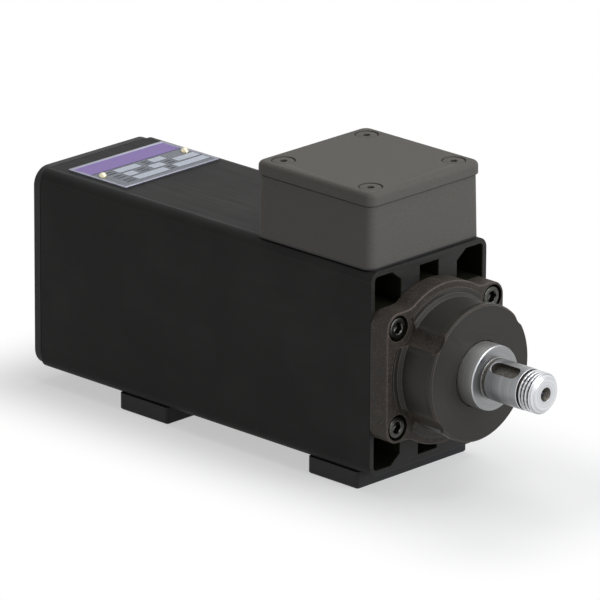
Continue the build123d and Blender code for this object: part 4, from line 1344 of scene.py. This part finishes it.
@dataclass(kw_only=True)
class Nameplate(SubAssembly):
    """The printed plate and its two rivets. Every field on it is left blank."""

    coats: tuple[Coat, ...] = (Coat.SHEET, Coat.PURPLE_INK, Coat.PALE_INK, Coat.DARK_INK,
                               Coat.FIELD_INK)
    centre_x: float = -120.5
    centre_y: float = 1.5
    length: float = 47.0
    width: float = 76.0
    thickness: float = 1.0
    margin: float = 1.7
    recess: float = 0.35           # panel under the raised margin
    corner: float = 1.0
    edge: float = 0.25             # bevel of the raised margin's outer edge
    step: float = 0.3              # width of the slope from the margin down to the panel
    rivet: TurnedFastener = TurnedFastener(head=2.4, height=2.7, core=1.2, length=4.0)
    rivet_y: float = 33.0
    band_x: float = -14.0          # middle of the band behind the fields
    band_gap: float = 0.2          # from its ends to the margin
    ground_x: float = 6.6          # middle of the fields' ground
    ground_length: float = 29.6
    ground_gap: float = 0.3        # from its ends to the margin
    rows: tuple[float, ...] = (-1.5, 6.5, 14.5)
    row_length: float = 6.2
    # Blank fields of each row, then the bars beside them, each from one side to the other.
    blanks: tuple[tuple[tuple[float, float], ...], ...] = (
        ((-21.0, -3.0), (6.5, 17.0)),
        ((-21.0, -13.0), (-1.0, 9.0), (18.5, 36.0)),
        ((-21.0, 4.0), (11.0, 36.0)))
    bars: tuple[tuple[tuple[float, float], ...], ...] = (
        ((-29.5, -23.0), (1.0, 4.5)),
        ((-29.5, -23.0), (-10.5, -4.0), (11.5, 16.5)),
        ((-29.5, -23.0), (6.0, 9.0)))
    keyline: float = 0.5           # frame of the band and of each field
    bar_length: float = 1.5
    bar_shift: float = 1.6         # of a pair of bars from the row's middle
    inks: tuple[float, ...] = (0.03, 0.05, 0.08)   # levels of what is printed first to last

    def outline(self, form: bmesh.types.BMesh, inset: float, z: float) -> list[bmesh.types.BMVert]:
        """Ring of vertices round the plate.

        Args:
            form: the form that gets them.
            inset: distance inside the plate's edge.
            z: height.

        Returns:
            The ring.
        """
        # The innermost rings keep a small radius, so that no two vertices meet.
        radius = max(self.corner - inset, 0.2)
        ring = []
        for quarter in range(4):
            side_x, side_y = ((1, 1), (-1, 1), (-1, -1), (1, -1))[quarter]
            x = self.centre_x + side_x * (self.length / 2 - inset - radius)
            y = self.centre_y + side_y * (self.width / 2 - inset - radius)
            for step in range(5):
                angle = (quarter + step / 4) * math.pi / 2
                spot = Vector((x + radius * math.cos(angle), y + radius * math.sin(angle), z))
                ring.append(form.verts.new(spot * MM))
        return ring

    def printed(self, form: bmesh.types.BMesh, field: PrintedField) -> None:
        """Lay a printed field on the panel.

        Args:
            form: the form that gets it.
            field: the field.
        """
        # Its underside lies inside the plate, out of sight.
        panel = TOP + self.thickness - self.recess
        low, high = panel - 0.1, panel + field.level
        size = Vector((field.length, field.width, high - low)) * MM
        middle = Vector((self.centre_x + field.x, self.centre_y + field.y, (low + high) / 2)) * MM
        made = bmesh.ops.create_cube(
            form, size=1.0, matrix=Matrix.Translation(middle) @ Matrix.Diagonal((*size, 1.0)))
        for face in {face for vert in made["verts"] for face in vert.link_faces}:
            face.material_index = self.number(field.coat)

    def printing(self) -> list[PrintedField]:
        """List the band, the grey ground and the framed blank fields with bars beside them.

        Returns:
            The printed fields, the lowest first in each group.
        """
        half = self.width / 2 - self.margin
        band, keyline = self.length / 2 - self.margin + self.band_x, self.keyline
        low_ink, ink, high_ink = self.inks
        found = [
            PrintedField(Coat.PALE_INK, self.band_x, 0.0, 2 * band, 2 * (half - self.band_gap),
                         low_ink),
            PrintedField(Coat.PURPLE_INK, self.band_x, 0.0, 2 * (band - keyline),
                         2 * (half - keyline), ink),
            PrintedField(Coat.FIELD_INK, self.ground_x, 0.0, self.ground_length,
                         2 * (half - self.ground_gap), low_ink)]
        for x, blanks, bars in zip(self.rows, self.blanks, self.bars):
            for low, high in blanks:
                y, length, width = (low + high) / 2, self.row_length, high - low
                found += [PrintedField(Coat.DARK_INK, x, y, length + 2 * keyline,
                                       width + 2 * keyline, ink),
                          PrintedField(Coat.PALE_INK, x, y, length, width, high_ink)]
            found += [PrintedField(Coat.DARK_INK, x + shift, (low + high) / 2, self.bar_length,
                                   high - low, high_ink)
                      for low, high in bars for shift in (-self.bar_shift, self.bar_shift)]
        return found

    def plate(self) -> bpy.types.Object:
        """Build the plate with its raised margin and its printing.

        Returns:
            The finished piece.
        """
        form = bmesh.new()
        top, panel = TOP + self.thickness, TOP + self.thickness - self.recess
        rings = [self.outline(form, inset, z) for inset, z in (
            (0.0, TOP), (0.0, top - self.edge), (self.edge, top), (self.margin - self.step, top),
            (self.margin, panel))]
        for lower, upper in zip(rings, rings[1:]):
            for c in range(len(lower)):
                form.faces.new((lower[c - 1], lower[c], upper[c], upper[c - 1]))
        form.faces.new(rings[-1])
        form.faces.new(list(reversed(rings[0])))
        bmesh.ops.recalc_face_normals(form, faces=form.faces)
        for field in self.printing():
            self.printed(form, field)
        return shaped(form, "rating_plate", self.coats)

    def build(self) -> None:
        """Dress the plate and set its domed rivets."""
        self.place(self.plate(), "frame", "plate_aluminium", "nameplate")
        top = TOP + self.thickness - self.recess
        seats = [Vector((self.centre_x, self.centre_y + side * self.rivet_y, top))
                 for side in (-1, 1)]
        rivets = FastenerTree(Crown.DOME).set_at(
            "domed_rivet_set", self.rivet, seats, UP, Coat.RIVET)
        self.place(rivets, "frame", "rivet_brass", "nameplate_rivets")


# ---------------------------------------------------------------- studio

def seen_rays(tree: bpy.types.NodeTree) -> Socket:
    """Tell the rays that show the background, seen directly, in metal or through glass.

    Args:
        tree: the floor's or the world's tree.

    Returns:
        1 for those rays and 0 for the ones that carry light.
    """
    path = add_node(tree, "ShaderNodeLightPath").outputs
    either = add_node(tree, "ShaderNodeMath", {0: path["Is Camera Ray"], 1: path["Is Glossy Ray"]},
                      operation="MAXIMUM")
    return add_node(tree, "ShaderNodeMath", {0: either.outputs[0], 1: path["Is Transmission Ray"]},
                    operation="MAXIMUM").outputs[0]


@dataclass(frozen=True)
class Softbox:
    """A soft lamp."""

    name: str
    place: Place                   # in metres
    width: float
    depth: float
    power: float
    tint: str = "ffffff"


@dataclass
class Studio:
    """Pale floor, soft lamps and the camera."""

    eye: Place = (2836.69, -2926.36, 1475.31)
    azimuth: float = 44.049        # of the camera, in degrees
    elevation: float = 18.925
    roll: float = 0.306
    lens: float = 457.24
    floor_half: float = 6.0        # metres
    floor_drop: float = 0.00005    # metres under the feet, so that no face is shared with them
    shaded_middle: Place = (0.016, 0.0, 0.0)       # of the object's footprint, in metres
    shaded_half: Place = (0.178, 0.047, 1.0)
    shadow_reach: float = 0.075    # metres from the object to pure white paper
    shadow_wash: float = 0.5       # share of pure white already under the object
    aim: Place = (0.0, 0.0, 0.08)  # where the lamps point, in metres
    room: float = 0.2              # strength of the white room round the lamps
    lamps: tuple[Softbox, ...] = (
        Softbox("overhead", (0.25, 0.3, 1.5), 1.3, 1.3, 13.0),
        Softbox("front", (1.8, 0.3, 0.7), 1.2, 1.2, 21.0, "f6f9ff"),
    )

    def camera(self) -> None:
        """Place the camera at the viewing angle."""
        az, el, roll = (math.radians(a) for a in (self.azimuth, self.elevation, self.roll))
        back = Vector((math.sin(az) * math.cos(el), -math.cos(az) * math.cos(el), math.sin(el)))
        right = Vector((math.cos(az), math.sin(az), 0))
        up = back.cross(right)
        tilted = math.cos(roll) * right + math.sin(roll) * up
        upright = math.cos(roll) * up - math.sin(roll) * right
        data = bpy.data.cameras.new("viewpoint")
        data.lens = self.lens
        camera = bpy.data.objects.new("viewpoint", data)
        turn = Matrix((tilted, upright, back)).transposed().to_4x4()
        camera.matrix_world = Matrix.Translation(Vector(self.eye) * MM) @ turn
        bpy.context.scene.collection.objects.link(camera)
        bpy.context.scene.camera = camera

    def floor(self) -> None:
        """Lay the floor, white to the eye and soft under the shadow."""
        form = bmesh.new()
        bmesh.ops.create_grid(form, x_segments=1, y_segments=1, size=self.floor_half,
                              matrix=Matrix.Translation((0, 0, -self.floor_drop)))
        mesh = bpy.data.meshes.new("floor")
        form.to_mesh(mesh)
        form.free()
        material = bpy.data.materials.new("white_paper")
        material.use_nodes = True
        tree = material.node_tree
        shader = tree.nodes["Principled BSDF"]
        shader.inputs["Base Color"].default_value = srgb("ececec")
        shader.inputs["Roughness"].default_value = 0.9
        value = add_node(tree, "ShaderNodeTexCoord").outputs["Object"]
        nothing = (0.0, 0.0, 0.0)
        for operation, amounts in (("SUBTRACT", self.shaded_middle), ("ABSOLUTE", nothing),
                                   ("SUBTRACT", self.shaded_half), ("MAXIMUM", nothing)):
            value = add_node(tree, "ShaderNodeVectorMath", {0: value, 1: amounts},
                             operation=operation).outputs[0]
        beside = add_node(tree, "ShaderNodeVectorMath", {0: value}, operation="LENGTH")
        fade = add_node(tree, "ShaderNodeMapRange", {
            "Value": beside.outputs["Value"], "From Max": self.shadow_reach,
            "To Min": self.shadow_wash}, interpolation_type="SMOOTHSTEP")
        amount = add_node(tree, "ShaderNodeMath", {0: fade.outputs[0], 1: seen_rays(tree)},
                          operation="MULTIPLY")
        white = add_node(tree, "ShaderNodeEmission", {"Color": (1, 1, 1, 1), "Strength": 1.0})
        mixed = add_node(tree, "ShaderNodeMixShader", {
            0: amount.outputs[0], 1: shader.outputs[0], 2: white.outputs[0]})
        tree.links.new(mixed.outputs[0], tree.nodes["Material Output"].inputs["Surface"])
        mesh.materials.append(material)
        piece_from(mesh, "floor")

    def light(self) -> None:
        """Hang the lamps and set the world."""
        for lamp in self.lamps:
            data = bpy.data.lights.new(lamp.name, "AREA")
            data.shape = "RECTANGLE"
            data.size = lamp.width
            data.size_y = lamp.depth
            data.energy = lamp.power
            data.color = srgb(lamp.tint)[:3]
            light = bpy.data.objects.new(lamp.name, data)
            turn = (Vector(self.aim) - Vector(lamp.place)).to_track_quat("-Z", "Y")
            light.matrix_world = Matrix.Translation(lamp.place) @ turn.to_matrix().to_4x4()
            bpy.context.scene.collection.objects.link(light)
        world = bpy.data.worlds.new("studio")
        bpy.context.scene.world = world
        world.use_nodes = True
        tree = world.node_tree
        room = tree.nodes["Background"]
        room.inputs["Color"].default_value = (1, 1, 1, 1)
        room.inputs["Strength"].default_value = self.room
        backdrop = add_node(tree, "ShaderNodeBackground", {"Color": (1, 1, 1, 1), "Strength": 1.0})
        mixed = add_node(tree, "ShaderNodeMixShader", {
            0: seen_rays(tree), 1: room.outputs[0], 2: backdrop.outputs[0]})
        tree.links.new(mixed.outputs[0], tree.nodes["World Output"].inputs["Surface"])

    def build(self) -> None:
        """Set up the whole studio."""
        bpy.context.scene.view_settings.view_transform = "Standard"
        self.camera()
        self.floor()
        self.light()


def main() -> None:
    """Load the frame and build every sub-assembly."""
    logging.basicConfig(level=logging.INFO, format="%(name)s %(message)s")
    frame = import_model()
    Studio().build()
    fasteners = FastenerTree()
    Housing(frame=frame).build(fasteners)
    BearingNose(frame=frame).build(fasteners)
    Spindle(frame=frame).build()
    BallBearings(frame=frame).build()
    MotorRear(frame=frame).build(fasteners)
    TerminalBox(frame=frame).build(fasteners)
    Nameplate(frame=frame).build()


if __name__ == "__main__":
    main()
